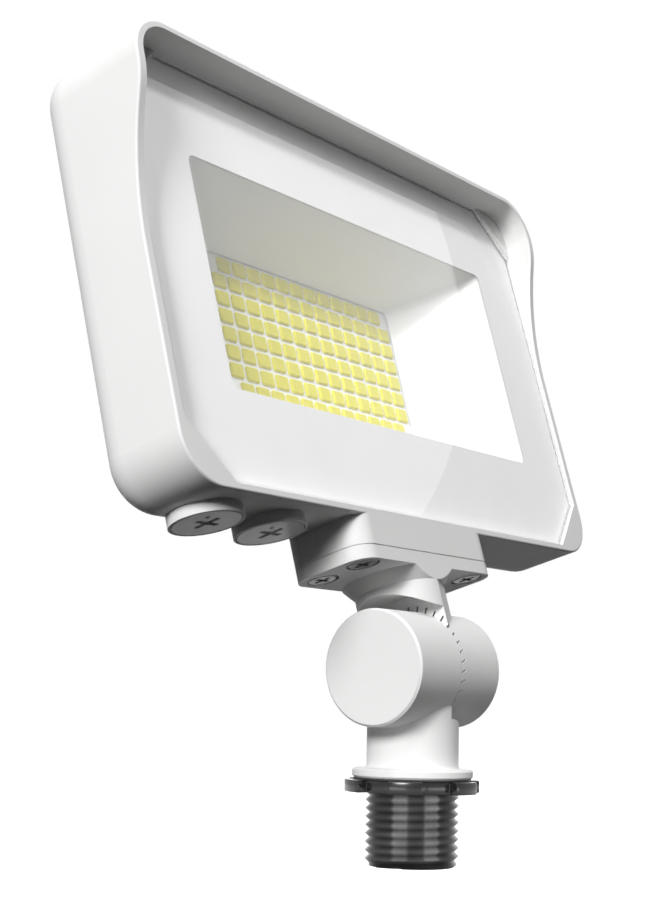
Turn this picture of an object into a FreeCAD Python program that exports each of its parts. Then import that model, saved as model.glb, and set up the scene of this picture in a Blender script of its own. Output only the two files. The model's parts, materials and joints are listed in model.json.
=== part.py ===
import FreeCAD, Part
import math
import os
import re

import Sketcher

# White LED flood light on a tilting knuckle with a threaded conduit nipple.
# Millimetres, +Z up. The origin lies on the nipple's axis at the top of its thread, and the light faces -Y.
# The base's pieces are drawn from the underside of the collar, which lies nipple_relief above the origin.
# The head's pieces are drawn upright about the knuckle's axis, with the glass facing -Y, and then lean
# back together by rest_tilt.

SIZES = {
    # pose of the head
    "rest_tilt": 15.9,
    "pivot_height": 23.9,
    # clearances and fits
    "running_gap": 0.08,
    "fitted_gap": 0.02,
    "seat_gap": 0.1,
    "loose_gap": 0.3,
    # threaded nipple
    "thread_radius": 10.5,
    "thread_pitch": 1.814,
    "thread_depth": 1.0,
    "thread_crest": 0.3,
    "thread_length": 19.2,
    "nipple_relief": 3.65,
    "nipple_bore": 7.6,
    "spigot_radius": 8.8,
    "spigot_length": 6.0,
    # locknut and its seal
    "seal_thickness": 0.4,
    "seal_width": 2.5,
    "locknut_height": 2.75,
    "locknut_radius": 15.3,
    "locknut_root": 12.9,
    "lug_angle": 29.0,
    "lug_count": 6,
    "lug_turn": 13.0,
    "locknut_chamfer": 0.5,
    # knuckle and stem
    "collar_radius": 13.5,
    "collar_height": 2.0,
    "collar_bevel": 0.4,
    "stem_radius": 10.3,
    "stem_foot": 0.8,
    "knuckle_radius": 12.9,
    "knuckle_half": 16.3,
    "knuckle_bevel": 0.5,
    "stem_relief": 2.0,
    "chamber_radius": 9.0,
    "bolt_boss": 6.2,
    "end_wall": 3.0,
    "wire_bore": 3.6,
    "wire_wall": 0.4,
    "tooth_count": 36,
    "tooth_slot": 0.4,
    "tooth_length": 1.7,
    "tooth_slant": 25.6,
    "tooth_depth": 1.3,
    "o_ring_radius": 10.6,
    "o_ring_section": 1.2,
    # pivot bolt
    "bolt_radius": 4.0,
    "bolt_engagement": 11.0,
    "bolt_head_radius": 6.5,
    "bolt_head_height": 4.8,
    "bolt_socket": 6.0,
    "socket_share": 0.7,
    "washer_radius": 7.4,
    "washer_thickness": 1.4,
    "head_sink": 0.3,
    # mounting arm
    "flange_half": 27.0,
    "flange_back": 9.7,
    "flange_bottom": 20.9,
    "flange_thickness": 3.0,
    "flange_corner": 5.0,
    "neck_radius": 10.5,
    "neck_flare": 2.4,
    "neck_flare_height": 3.0,
    "neck_flat": 22.5,
    "neck_relief": 3.4,
    "arm_gasket_thickness": 0.3,
    "gasket_inset": 0.2,
    "arm_screw_spread": 21.2,
    "arm_screw_front": 6.6,
    "arm_screw_back": 4.8,
    "arm_screw_radius": 1.6,
    "arm_screw_head": 3.5,
    "arm_screw_head_height": 1.5,
    "arm_screw_length": 9.0,
    # housing
    "half_width": 80.7,
    "housing_bottom": 30.9,
    "housing_top": 133.35,
    "housing_back": 11.6,
    "rim_front": 11.4,
    "visor_front": 18.5,
    "visor_low": 81.0,
    "visor_high": 122.0,
    "visor_bend": 22.0,
    "corner_radius": 10.8,
    "back_fillet": 7.0,
    "edge_fillet": 0.5,
    "rim_side": 2.1,
    "rim_bottom": 1.5,
    "lip_thickness": 1.5,
    "corner_cut": 12.6,
    "inner_cut": 5.0,
    "corner_web": 2.0,
    "ledge_width": 3.0,
    "back_wall": 2.2,
    "box_opening_half": 17.0,
    "box_wall": 4.0,
    # cooling pad and fins on the back
    "fin_pad": 3.0,
    "fin_pad_margin": 6.0,
    "fin_pad_corner": 6.0,
    "fin_count": 15,
    "fin_thickness": 1.8,
    "fin_height": 5.0,
    # glass and its gasket
    "glass_front": 11.1,
    "glass_thickness": 2.5,
    "glass_bevel": 0.4,
    "gasket_thickness": 1.0,
    "gasket_width": 2.2,
    # reflector
    "reflector_flange": 1.2,
    "reflector_wall": 1.2,
    "reflector_edge": 4.6,
    "reflector_corner": 8.0,
    "opening_half": 59.3,
    "opening_height": 27.45,
    "window_half": 36.5,
    "window_height": 18.5,
    "opening_corner": 2.0,
    "post_radius": 3.5,
    "post_inset": 5.0,
    "post_spread": 24.0,
    "small_screw_radius": 1.2,
    "small_screw_head": 2.4,
    "small_screw_head_height": 1.5,
    "small_screw_length": 6.0,
    "board_screw_length": 4.4,
    # light source
    "led_centre": 82.1,
    "led_pitch_across": 5.5,
    "led_pitch_up": 4.56,
    "led_width": 4.85,
    "led_height": 4.0,
    "led_thickness": 0.8,
    "led_corner": 0.7,
    "led_columns": 13,
    "led_rows": 8,
    "board_half": 47.5,
    "board_height": 26.0,
    "board_thickness": 1.6,
    "board_margin": 0.5,
    "board_screw_inset": 4.0,
    "pad_thickness": 0.4,
    "pad_inset": 1.0,
    "board_sink": 1.8,
    # driver board and what it carries
    "driver_edge": 4.4,
    "driver_foot": 1.8,
    "driver_height": 16.6,
    "driver_thickness": 1.6,
    "driver_standoff": 4.0,
    "driver_post": 3.0,
    "driver_post_inset": 4.2,
    "driver_post_inner": 25.0,
    "driver_post_drop": 3.4,
    "transformer_length": 16.0,
    "transformer_width": 11.5,
    "transformer_height": 9.5,
    "transformer_inset": 18.2,
    "capacitor_radius": 4.0,
    "capacitor_height": 9.0,
    "capacitor_place": 9.0,
    "chip_length": 5.0,
    "chip_width": 4.0,
    "chip_height": 1.6,
    "chip_place": 4.0,
    "terminal_length": 12.0,
    "terminal_width": 8.0,
    "terminal_height": 8.0,
    "terminal_place": 20.0,
    "lead_radius": 0.6,
    "lead_spread": 3.0,
    "lead_rise": 2.4,
    "lead_bend": 1.5,
    "lead_inset": 1.4,
    # selector dials
    "dial_side": 18.0,
    "dial_pitch": 20.5,
    "dial_back": 0.7,
    "boss_radius": 8.0,
    "boss_height": 2.5,
    "dial_radius": 7.2,
    "dial_thickness": 1.8,
    "dial_rim_gap": 0.25,
    "shaft_radius": 3.0,
    "shaft_insert": 2.6,
    "slot_length": 6.4,
    "slot_width": 1.3,
    "slot_depth": 0.9,
    "dot_radius": 0.45,
    "dot_place": 3.6,
    "dot_height": 0.2,
    "seal_ring_section": 1.0,
    "clip_radius": 5.0,
    "clip_thickness": 0.6,
    "clip_groove": 0.5,
    "clip_mouth": 3.6,
    "switch_width": 12.0,
    "switch_height": 7.0,
    "earth_screw_radius": 2.0,
    "earth_screw_head": 3.6,
    "earth_screw_length": 4.5,
    "earth_boss": 4.0,
    "earth_boss_radius": 4.0,
    # cross recess of a screw, as shares of its head
    "recess_depth": 0.6,
    "recess_length": 1.2,
    "recess_width": 0.3,
    "head_bevel": 0.33,
}

doc = FreeCAD.newDocument("flood_light")
sheet = doc.addObject("Spreadsheet::Sheet", "sizes")
for row, (size_name, number) in enumerate(SIZES.items(), start=1):
    sheet.set(f"A{row}", size_name)
    sheet.set(f"B{row}", str(number))
    sheet.setAlias(f"B{row}", size_name)
doc.recompute()

PIECES = []
BASE = "placement(vector(0; 0; nipple_relief); rotation(vector(1; 0; 0); 0))"
HEAD = "placement(vector(0; 0; nipple_relief + pivot_height); rotation(vector(1; 0; 0); -rest_tilt))"
TURNS = {
    "up": "rotation(vector(0; 0; 1); 0)",
    "right": "rotation(vector(0; 1; 0); 90)",
    "front": "rotation(vector(1; 0; 0); 90)",
}

# Places that several pieces share, worked out from the sizes. Depths are measured forward from the
# knuckle's axis, heights up the head from it.
GLASS_BACK = "(glass_front - glass_thickness)"
LEDGE = f"({GLASS_BACK} - gasket_thickness)"
RECESS_HALF = "(half_width - rim_side)"
RECESS_BOTTOM = "(housing_bottom + rim_bottom)"
RECESS_TOP = "(housing_top - lip_thickness)"
CORNER_SHARE = "(2 - sqrt(2))"
CAVITY_HALF = f"({RECESS_HALF} - ledge_width)"
CAVITY_BOTTOM = f"({RECESS_BOTTOM} + ledge_width)"
CAVITY_TOP = f"({RECESS_TOP} - ledge_width)"
CAVITY_CUT = f"(corner_cut - {CORNER_SHARE} * ledge_width)"
FLOOR = "(back_wall - housing_back)"
BOARD_FLOOR = f"({FLOOR} - board_sink)"
BOARD_BACK = f"({BOARD_FLOOR} + pad_thickness)"
BOARD_FRONT = f"({BOARD_BACK} + board_thickness)"
FLANGE_TOP = "(flange_bottom + flange_thickness)"
BOX_BOTTOM = f"({FLANGE_TOP} + arm_gasket_thickness)"
NECK_FRONT = "(rim_front - neck_radius)"
REFLECTOR_FRONT = f"({GLASS_BACK} - loose_gap)"
REFLECTOR_SEAT = f"({REFLECTOR_FRONT} - reflector_flange)"
SCREW_WELL = f"({REFLECTOR_FRONT} - small_screw_head_height - seat_gap)"
POST_TOP = f"({SCREW_WELL} - reflector_flange)"
REFLECTOR_BACK = f"({BOARD_FRONT} + loose_gap)"
REFLECTOR_HALF = f"({CAVITY_HALF} - reflector_edge)"
POST_SIDE = f"({REFLECTOR_HALF} - post_inset)"
EARTH_PLACE = (POST_SIDE, "led_centre")
EARTH_TOP = f"({FLOOR} + earth_boss)"
DRIVER_BACK = f"({FLOOR} + driver_standoff)"
DRIVER_FRONT = f"({DRIVER_BACK} + driver_thickness)"
DRIVER_BOTTOM = f"({CAVITY_BOTTOM} + driver_foot)"
DRIVER_TOP = f"({DRIVER_BOTTOM} + driver_height)"
DRIVER_HALF = f"({CAVITY_HALF} - driver_edge)"
DRIVER_POST_HEIGHT = f"({DRIVER_TOP} - driver_post_drop)"
FIRST_DIAL = "(dial_side - half_width)"
SECOND_DIAL = f"({FIRST_DIAL} + dial_pitch)"
BOSS_BOTTOM = "(housing_bottom - boss_height)"
DIAL_SEAT = f"({BOSS_BOTTOM} + dial_thickness + seat_gap)"
SWITCH_BOTTOM = f"({CAVITY_BOTTOM} + clip_thickness + driver_foot)"
SEAL_TOP = "(0 - fitted_gap)"
LOCKNUT_TOP = f"({SEAL_TOP} - seal_thickness - fitted_gap)"
GROOVE_DEPTH = "(o_ring_section + loose_gap)"
WIRE_OFFSET = f"(seat_gap + {GROOVE_DEPTH} + wire_wall + wire_bore)"
BORE_ON_BOLT = "(bolt_radius + running_gap)"
COUNTERBORE = "(washer_radius + loose_gap)"
COUNTERBORE_DEPTH = "(washer_thickness + bolt_head_height + head_sink + fitted_gap)"
BOLT_SEAT = f"(knuckle_half - {COUNTERBORE_DEPTH})"


def linked(formula):
    """The formula with each size's name pointing at its cell."""
    return re.sub(r"[a-z_]+", lambda word: f"sizes.{word[0]}" if word[0] in SIZES else word[0], formula)


def value(formula):
    """The formula's number, in millimetres or degrees."""
    return float(sheet.evalExpression(linked(formula)))


def bind(thing, **formulas):
    """Tie properties of a feature to formulas of the sheet's sizes."""
    for name, formula in formulas.items():
        thing.setExpression(name, linked(formula))


def place(across="0", forward="0", up="0", along="up"):
    """A placement formula: forward is towards -Y."""
    return f"placement(vector({across}; 0 - ({forward}); {up}); {TURNS[along]})"


def new_body(label, frame=BASE):
    """An empty body that becomes one piece of the light."""
    body = doc.addObject("PartDesign::Body", label)
    body.Label = label
    bind(body, Placement=frame)
    PIECES.append(body)
    return body


def cylinder(body, way, name, radius, length, where):
    """Add or cut a cylinder that starts at a place and runs along its direction."""
    feature = body.newObject(f"PartDesign::{way}Cylinder", name)
    bind(feature, Radius=radius, Height=length, Placement=where)
    return feature


def block(body, way, name, across, forward, up):
    """Add or cut a block given by its low and high formulas across, forward and up."""
    feature = body.newObject(f"PartDesign::{way}Box", name)
    bind(
        feature,
        Length=f"({across[1]}) - ({across[0]})",
        Width=f"({forward[1]}) - ({forward[0]})",
        Height=f"({up[1]}) - ({up[0]})",
        Placement=place(f"({across[0]})", f"({forward[1]})", f"({up[0]})"),
    )
    return feature


def sketch_on(body, name, plane, offset="0"):
    """A sketch on one of the body's own planes, moved along that plane's normal."""
    sketch = body.newObject("Sketcher::SketchObject", name)
    support = next(plane_ for plane_ in body.Origin.OriginFeatures if plane_.Role == plane)
    sketch.AttachmentSupport = [(support, "")]
    sketch.MapMode = "FlatFace"
    sketch.setExpression("AttachmentOffset.Base.z", linked(offset))
    return sketch


def hold(sketch, kind, formula, *where):
    """One dimension of a sketch, tied to a formula."""
    index = sketch.addConstraint(Sketcher.Constraint(kind, *where, value(formula)))
    sketch.setExpression(f"Constraints[{index}]", linked(formula))


def pin(sketch, edge, point, across, up):
    """Tie a point of a sketch to its distances from the sketch's origin."""
    hold(sketch, "DistanceX", across, -1, 1, edge, point)
    hold(sketch, "DistanceY", up, -1, 1, edge, point)


def polygon(sketch, corners):
    """A closed outline of straight edges through corners given as pairs of formulas."""
    first = sketch.GeometryCount
    count = len(corners)
    points = [FreeCAD.Vector(value(across), value(up), 0) for across, up in corners]
    for i in range(count):
        sketch.addGeometry(Part.LineSegment(points[i], points[(i + 1) % count]), False)
    for i, (across, up) in enumerate(corners):
        sketch.addConstraint(Sketcher.Constraint("Coincident", first + i, 2, first + (i + 1) % count, 1))
        pin(sketch, first + i, 1, across, up)


def octagon(sketch, half, bottom, top, cut):
    """A rectangle with its four corners cut at 45 degrees."""
    polygon(
        sketch,
        [
            (f"{half} - {cut}", bottom),
            (half, f"{bottom} + {cut}"),
            (half, f"{top} - {cut}"),
            (f"{half} - {cut}", top),
            (f"{cut} - {half}", top),
            (f"0 - {half}", f"{top} - {cut}"),
            (f"0 - {half}", f"{bottom} + {cut}"),
            (f"{cut} - {half}", bottom),
        ],
    )


def rounded_rectangle(sketch, left, right, bottom, top, radius):
    """A rectangle with four round corners of one radius."""
    first = sketch.GeometryCount
    centres = [
        (f"{right} - ({radius})", f"{bottom} + ({radius})"),
        (f"{right} - ({radius})", f"{top} - ({radius})"),
        (f"{left} + ({radius})", f"{top} - ({radius})"),
        (f"{left} + ({radius})", f"{bottom} + ({radius})"),
    ]
    arcs = []
    for i, (across, up) in enumerate(centres):
        start = math.radians(90 * i - 90)
        centre = FreeCAD.Vector(value(across), value(up), 0)
        circle = Part.Circle(centre, FreeCAD.Vector(0, 0, 1), value(radius))
        arcs.append(Part.ArcOfCircle(circle, start, start + math.pi / 2))
        sketch.addGeometry(arcs[i], False)
    for i in range(4):
        sketch.addGeometry(Part.LineSegment(arcs[i].EndPoint, arcs[(i + 1) % 4].StartPoint), False)
    for i in range(4):
        sketch.addConstraint(Sketcher.Constraint("Tangent", first + i, 2, first + 4 + i, 1))
        sketch.addConstraint(Sketcher.Constraint("Tangent", first + 4 + i, 2, first + (i + 1) % 4, 1))
        sketch.addConstraint(Sketcher.Constraint("Horizontal" if i % 2 else "Vertical", first + 4 + i))
    for i in range(1, 4):
        sketch.addConstraint(Sketcher.Constraint("Equal", first, first + i))
    hold(sketch, "Radius", radius, first)
    pin(sketch, first, 3, *centres[0])
    pin(sketch, first + 2, 3, *centres[2])


def feature_from(body, kind, name, sketch, length):
    """A pad or pocket of a sketch. Pads grow along the sketch's normal, pockets cut against it."""
    feature = body.newObject(f"PartDesign::{kind}", name)
    feature.Profile = sketch
    bind(feature, Length=length)
    return feature


def edges_where(shape, test):
    """Names of the edges whose every vertex and middle pass a test on local coordinates."""
    names = []
    for number, edge in enumerate(shape.Edges, start=1):
        middle = edge.valueAt((edge.FirstParameter + edge.LastParameter) / 2)
        points = [vertex.Point for vertex in edge.Vertexes] + [middle]
        if all(test(point) for point in points):
            names.append(f"Edge{number}")
    return names


def round_edges(body, name, kind, size, test):
    """Fillet or chamfer the edges of the body's last feature that pass a test."""
    doc.recompute()
    base = body.Tip
    names = edges_where(base.Shape, test)
    if not names:
        raise RuntimeError(f"{body.Label}: no edge for {name}")
    feature = body.newObject(f"PartDesign::{kind}", name)
    feature.Base = (base, names)
    bind(feature, **{"Radius" if kind == "Fillet" else "Size": size})
    return feature


def near(number, formula):
    """Is a coordinate at the formula's value?"""
    return abs(number - value(formula)) < 1e-4


def from_axis(*offsets):
    """Distance of a point from an axis, given its two offsets from it."""
    return math.hypot(*offsets)


def polar_copies(body, feature, axis, count):
    """Repeat a feature all round one of the body's own axes."""
    pattern = body.newObject("PartDesign::PolarPattern", f"{feature.Name}_round")
    pattern.Originals = [feature]
    line = next(line_ for line_ in body.Origin.OriginFeatures if line_.Role == axis)
    pattern.Axis = (line, [""])
    pattern.Angle = 360
    bind(pattern, Occurrences=count)
    body.Tip = pattern
    return pattern


def new_group(label, shapes, frame=HEAD):
    """Several separate solids that share one node."""
    group = doc.addObject("Part::Feature", label)
    group.Label = label
    group.Shape = Part.makeCompound(shapes)
    bind(group, Placement=frame)
    PIECES.append(group)
    return group


def spot(across, forward, up):
    """A point of the head as a vector."""
    return FreeCAD.Vector(value(across), -value(forward), value(up))


UP = FreeCAD.Vector(0, 0, 1)
BACK = FreeCAD.Vector(0, 1, 0)


def screw(seat, way, shank_radius, length, head_radius, head_height):
    """A cross-head screw whose head stands on its seat and whose shank runs along way."""
    shank = Part.makeCylinder(value(shank_radius), value(length), seat, way)
    head = Part.makeCylinder(value(head_radius), value(head_height), seat, -way)
    rim = [edge for edge in head.Edges if edge.Closed][:1]
    head = head.makeChamfer(value(head_height) * value("head_bevel"), rim)
    depth = value(head_height) * value("recess_depth")
    arm = value(head_radius) * value("recess_length")
    slot = value(head_radius) * value("recess_width")
    cross = Part.makeBox(arm, slot, depth, FreeCAD.Vector(-arm / 2, -slot / 2, 0))
    cross = cross.fuse(Part.makeBox(slot, arm, depth, FreeCAD.Vector(-slot / 2, -arm / 2, 0)))
    cross.Placement = FreeCAD.Placement(seat - way * value(head_height), FreeCAD.Rotation(UP, way))
    return shank.fuse(head).removeSplitter().cut(cross)


def knuckle_base():
    """Collar, stem and the left half of the knuckle, hollow for the wires."""
    body = new_body("knuckle_base")
    seam = "(0 - seat_gap)"
    axis_left = place("0 - knuckle_half", "0", "pivot_height", "right")
    cylinder(body, "Additive", "half", "knuckle_radius", f"{seam} + knuckle_half", axis_left)
    round_edges(
        body, "end_bevel", "Chamfer", "knuckle_bevel", lambda point: near(point.x, "0 - knuckle_half")
    )
    cylinder(body, "Additive", "stem", "stem_radius", "pivot_height", place())
    at_seam = place(seam, "0", "pivot_height", "right")
    cleared = "knuckle_radius + stem_relief"
    cylinder(body, "Subtractive", "relief", cleared, "knuckle_half + stem_radius", at_seam)
    cylinder(body, "Additive", "collar", "collar_radius", "collar_height", place())
    round_edges(
        body,
        "collar_edges",
        "Chamfer",
        "collar_bevel",
        lambda point: near(from_axis(point.x, point.y), "collar_radius"),
    )
    round_edges(
        body,
        "foot",
        "Fillet",
        "stem_foot",
        lambda point: near(point.z, "collar_height") and near(from_axis(point.x, point.y), "stem_radius"),
    )
    into_seam = place(f"{seam} - {GROOVE_DEPTH}", "0", "pivot_height", "right")
    outer = "o_ring_radius + o_ring_section / 2 + seat_gap"
    inner = "o_ring_radius - o_ring_section / 2 - seat_gap"
    cylinder(body, "Subtractive", "groove", outer, GROOVE_DEPTH, into_seam)
    cylinder(body, "Additive", "groove_core", inner, GROOVE_DEPTH, into_seam)
    chamber = place("end_wall - knuckle_half", "0", "pivot_height", "right")
    depth = f"knuckle_half - end_wall + {seam}"
    cylinder(body, "Subtractive", "chamber", "chamber_radius", depth, chamber)
    cylinder(body, "Additive", "bolt_boss_left", "bolt_boss", depth, chamber)
    hole = place(f"{seam} - bolt_engagement - loose_gap", "0", "pivot_height", "right")
    cylinder(
        body, "Subtractive", "bolt_hole", "bolt_radius + fitted_gap", "bolt_engagement + loose_gap", hole
    )
    cylinder(body, "Subtractive", "spigot_seat", "spigot_radius + fitted_gap", "spigot_length", place())
    start = "(spigot_length - seat_gap)"
    way = place(f"0 - {WIRE_OFFSET}", up=start)
    cylinder(body, "Subtractive", "wire_way", "wire_bore", f"pivot_height - bolt_boss - {start}", way)


def threaded_nipple():
    """Black tube with a ringed thread, a plain relief under the collar and a spigot in the stem."""
    body = new_body("threaded_nipple")
    start = "(0 - thread_length)"
    cylinder(body, "Additive", "tube", "thread_radius", "thread_length", place(up=start))
    round_edges(
        body, "end_cut", "Chamfer", "thread_depth", lambda point: near(point.z, start)
    )
    root = "(thread_radius - thread_depth)"
    ring = "thread_radius + thread_depth"
    cylinder(body, "Subtractive", "relief", ring, "nipple_relief", place(up="0 - nipple_relief"))
    cylinder(body, "Additive", "relief_core", root, "nipple_relief", place(up="0 - nipple_relief"))
    thread = sketch_on(body, "thread_groove", "XZ_Plane")
    pitch_low = "(0 - nipple_relief - thread_pitch)"
    polygon(
        thread,
        [
            ("thread_radius", f"{pitch_low} + thread_crest / 2"),
            (root, f"{pitch_low} + thread_pitch / 2"),
            ("thread_radius", f"{pitch_low} + thread_pitch - thread_crest / 2"),
        ],
    )
    groove = body.newObject("PartDesign::Groove", "ring_groove")
    groove.Profile = thread
    groove.ReferenceAxis = (thread, ["V_Axis"])
    groove.Angle = 360
    pattern = body.newObject("PartDesign::LinearPattern", "thread_rings")
    pattern.Originals = [groove]
    axis = next(line for line in body.Origin.OriginFeatures if line.Role == "Z_Axis")
    pattern.Direction = (axis, [""])
    pattern.Reversed = True
    rings = "floor((thread_length - nipple_relief) / thread_pitch)"
    bind(pattern, Length=f"({rings} - 1) * thread_pitch", Occurrences=rings)
    body.Tip = pattern
    cylinder(body, "Additive", "spigot", "spigot_radius", "spigot_length", place())
    through = "thread_length + spigot_length"
    cylinder(body, "Subtractive", "bore", "nipple_bore", through, place(up=start))


def locknut_seal():
    """Thin rubber ring that rides on top of the locknut."""
    body = new_body("locknut_seal")
    low = place(up=f"{SEAL_TOP} - seal_thickness")
    bore = "(thread_radius + running_gap)"
    cylinder(body, "Additive", "ring", f"{bore} + seal_width", "seal_thickness", low)
    cylinder(body, "Subtractive", "hole", bore, "seal_thickness", low)


def locknut():
    """Ring nut with six driving lugs."""
    body = new_body("locknut")
    low = place(up=f"{LOCKNUT_TOP} - locknut_height")
    cylinder(body, "Additive", "ring", "locknut_root", "locknut_height", low)
    lug = cylinder(body, "Additive", "lug", "locknut_radius", "locknut_height", place())
    bind(
        lug,
        Angle="lug_angle",
        Placement=(
            f"placement(vector(0; 0; {LOCKNUT_TOP} - locknut_height); "
            "rotation(vector(0; 0; 1); lug_turn))"
        ),
    )
    polar_copies(body, lug, "Z_Axis", "lug_count")
    round_edges(
        body,
        "lug_edges",
        "Chamfer",
        "locknut_chamfer",
        lambda point: near(from_axis(point.x, point.y), "locknut_radius")
        and near(point.z, LOCKNUT_TOP),
    )
    cylinder(body, "Subtractive", "hole", "thread_radius + running_gap", "locknut_height", low)


def pivot_bolt():
    """Socket bolt through the knuckle from its right end."""
    body = new_body("pivot_bolt")
    tip = "(0 - seat_gap - bolt_engagement)"
    under_head = f"({BOLT_SEAT} + washer_thickness + fitted_gap)"
    shank = place(tip, "0", "pivot_height", "right")
    cylinder(body, "Additive", "shank", "bolt_radius", f"{under_head} - {tip}", shank)
    head = place(under_head, "0", "pivot_height", "right")
    cylinder(body, "Additive", "head", "bolt_head_radius", "bolt_head_height", head)
    socket = body.newObject("PartDesign::SubtractivePrism", "socket")
    socket.Polygon = 6
    bind(
        socket,
        Circumradius="bolt_socket / sqrt(3)",
        Height="bolt_head_height * socket_share",
        Placement=place(
            f"{under_head} + bolt_head_height * (1 - socket_share)", "0", "pivot_height", "right"
        ),
    )
    washer = new_body("pivot_washer")
    seat = place(f"{BOLT_SEAT} + fitted_gap / 2", "0", "pivot_height", "right")
    cylinder(washer, "Additive", "ring", "washer_radius", "washer_thickness", seat)
    cylinder(washer, "Subtractive", "hole", BORE_ON_BOLT, "washer_thickness", seat)


def knuckle_o_ring():
    """Rubber ring in the seam face of the knuckle's left half."""
    ring = doc.addObject("Part::Torus", "knuckle_o_ring")
    ring.Label = "knuckle_o_ring"
    bind(
        ring,
        Radius1="o_ring_radius",
        Radius2="o_ring_section / 2",
        Placement=place(
            "0 - seat_gap - loose_gap - o_ring_section / 2", "0", "nipple_relief + pivot_height", "right"
        ),
    )
    PIECES.append(ring)


def mounting_arm():
    """Flange, neck and right half of the knuckle in one casting."""
    body = new_body("mounting_arm", HEAD)
    flange = sketch_on(body, "flange_outline", "XY_Plane", "flange_bottom")
    rounded_rectangle(
        flange, "0 - flange_half", "flange_half", "0 - rim_front", "flange_back", "flange_corner"
    )
    feature_from(body, "Pad", "flange", flange, "flange_thickness")
    neck_axis = place(forward=NECK_FRONT)
    cylinder(body, "Additive", "neck", "neck_radius", "flange_bottom + flange_thickness / 2", neck_axis)
    flare = body.newObject("PartDesign::AdditiveCone", "neck_flare")
    bind(
        flare,
        Radius1="neck_radius",
        Radius2="neck_radius + neck_flare",
        Height="neck_flare_height",
        Placement=place(forward=NECK_FRONT, up="flange_bottom - neck_flare_height"),
    )
    flat = block(
        body,
        "Subtractive",
        "right_flat",
        ("0 - neck_radius", "neck_radius"),
        ("0", "neck_radius"),
        ("0", "flange_bottom - neck_flare_height"),
    )
    bind(
        flat,
        Placement=(
            f"placement(vector(0; 0 - {NECK_FRONT}; 0); rotation(vector(0; 0; 1); neck_flat)) * "
            "placement(vector(0 - neck_radius; 0 - neck_radius * (1 + cos(neck_flat)); 0); "
            "rotation(vector(0; 0; 1); 0))"
        ),
    )
    block(
        body,
        "Subtractive",
        "front_trim",
        ("0 - flange_half", "flange_half"),
        ("rim_front", "rim_front + flange_corner"),
        ("0", "flange_bottom"),
    )
    cylinder(
        body,
        "Subtractive",
        "relief",
        "knuckle_radius + neck_relief",
        "flange_half + seat_gap",
        place("0 - flange_half", along="right"),
    )
    seam = place("seat_gap", along="right")
    cylinder(body, "Additive", "half", "knuckle_radius", "knuckle_half - seat_gap", seam)
    round_edges(
        body, "end_bevel", "Chamfer", "knuckle_bevel", lambda point: near(point.x, "knuckle_half")
    )
    slot = block(
        body,
        "Subtractive",
        "tooth_gap",
        ("0", "tooth_length / cos(tooth_slant)"),
        ("knuckle_radius - tooth_depth", "knuckle_radius + tooth_depth"),
        ("0 - tooth_slot / 2", "tooth_slot / 2"),
    )
    bind(
        slot,
        Placement=(
            "placement(vector(0; 0 - knuckle_radius - tooth_depth; 0); "
            "rotation(vector(0; 1; 0); 0 - tooth_slant))"
        ),
    )
    polar_copies(body, slot, "X_Axis", "tooth_count")
    chamber_depth = f"({BOLT_SEAT} - end_wall - seat_gap)"
    cylinder(body, "Subtractive", "chamber", "chamber_radius", chamber_depth, seam)
    cylinder(body, "Additive", "bolt_boss_right", "bolt_boss", chamber_depth, seam)
    cylinder(
        body, "Subtractive", "bolt_bore", BORE_ON_BOLT, "knuckle_half", place("0 - seat_gap", along="right")
    )
    cylinder(
        body, "Subtractive", "head_seat", COUNTERBORE, COUNTERBORE_DEPTH, place(BOLT_SEAT, along="right")
    )
    way_start = "(bolt_boss + seat_gap)"
    cylinder(
        body,
        "Subtractive",
        "wire_way",
        "wire_bore",
        f"{FLANGE_TOP} - {way_start}",
        place(WIRE_OFFSET, "0", way_start),
    )
    for number, (across, forward) in enumerate(arm_screw_places()):
        low = place(across, forward, "flange_bottom")
        hole = "arm_screw_radius + seat_gap"
        cylinder(body, "Subtractive", f"screw_hole_{number}", hole, "flange_thickness", low)
        cylinder(
            body,
            "Subtractive",
            f"screw_seat_{number}",
            "arm_screw_head + loose_gap",
            "arm_screw_head_height",
            low,
        )


def arm_screw_places():
    """Where the four screws of the flange stand: across and forward."""
    return [
        (across, forward)
        for across in ("arm_screw_spread", "0 - arm_screw_spread")
        for forward in ("arm_screw_front", "0 - arm_screw_back")
    ]


def arm_gasket():
    """Flat gasket between the flange and the wiring box."""
    body = new_body("arm_gasket", HEAD)
    outline = sketch_on(body, "outline", "XY_Plane", FLANGE_TOP)
    rounded_rectangle(
        outline,
        "gasket_inset - flange_half",
        "flange_half - gasket_inset",
        "gasket_inset - rim_front",
        "flange_back - gasket_inset",
        "flange_corner - gasket_inset",
    )
    feature_from(body, "Pad", "sheet_rubber", outline, "arm_gasket_thickness")
    opening = sketch_on(body, "opening", "XY_Plane", BOX_BOTTOM)
    wiring_opening(opening)
    feature_from(body, "Pocket", "wire_window", opening, "arm_gasket_thickness")
    for number, (across, forward) in enumerate(arm_screw_places()):
        cylinder(
            body,
            "Subtractive",
            f"screw_hole_{number}",
            "arm_screw_radius + seat_gap",
            "arm_gasket_thickness",
            place(across, forward, FLANGE_TOP),
        )


def wiring_opening(sketch):
    """Outline of the opening that the wires pass on their way into the head."""
    rounded_rectangle(
        sketch,
        "0 - box_opening_half",
        "box_opening_half",
        "box_wall - rim_front",
        "flange_back - box_wall",
        "box_wall / 2",
    )


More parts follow.
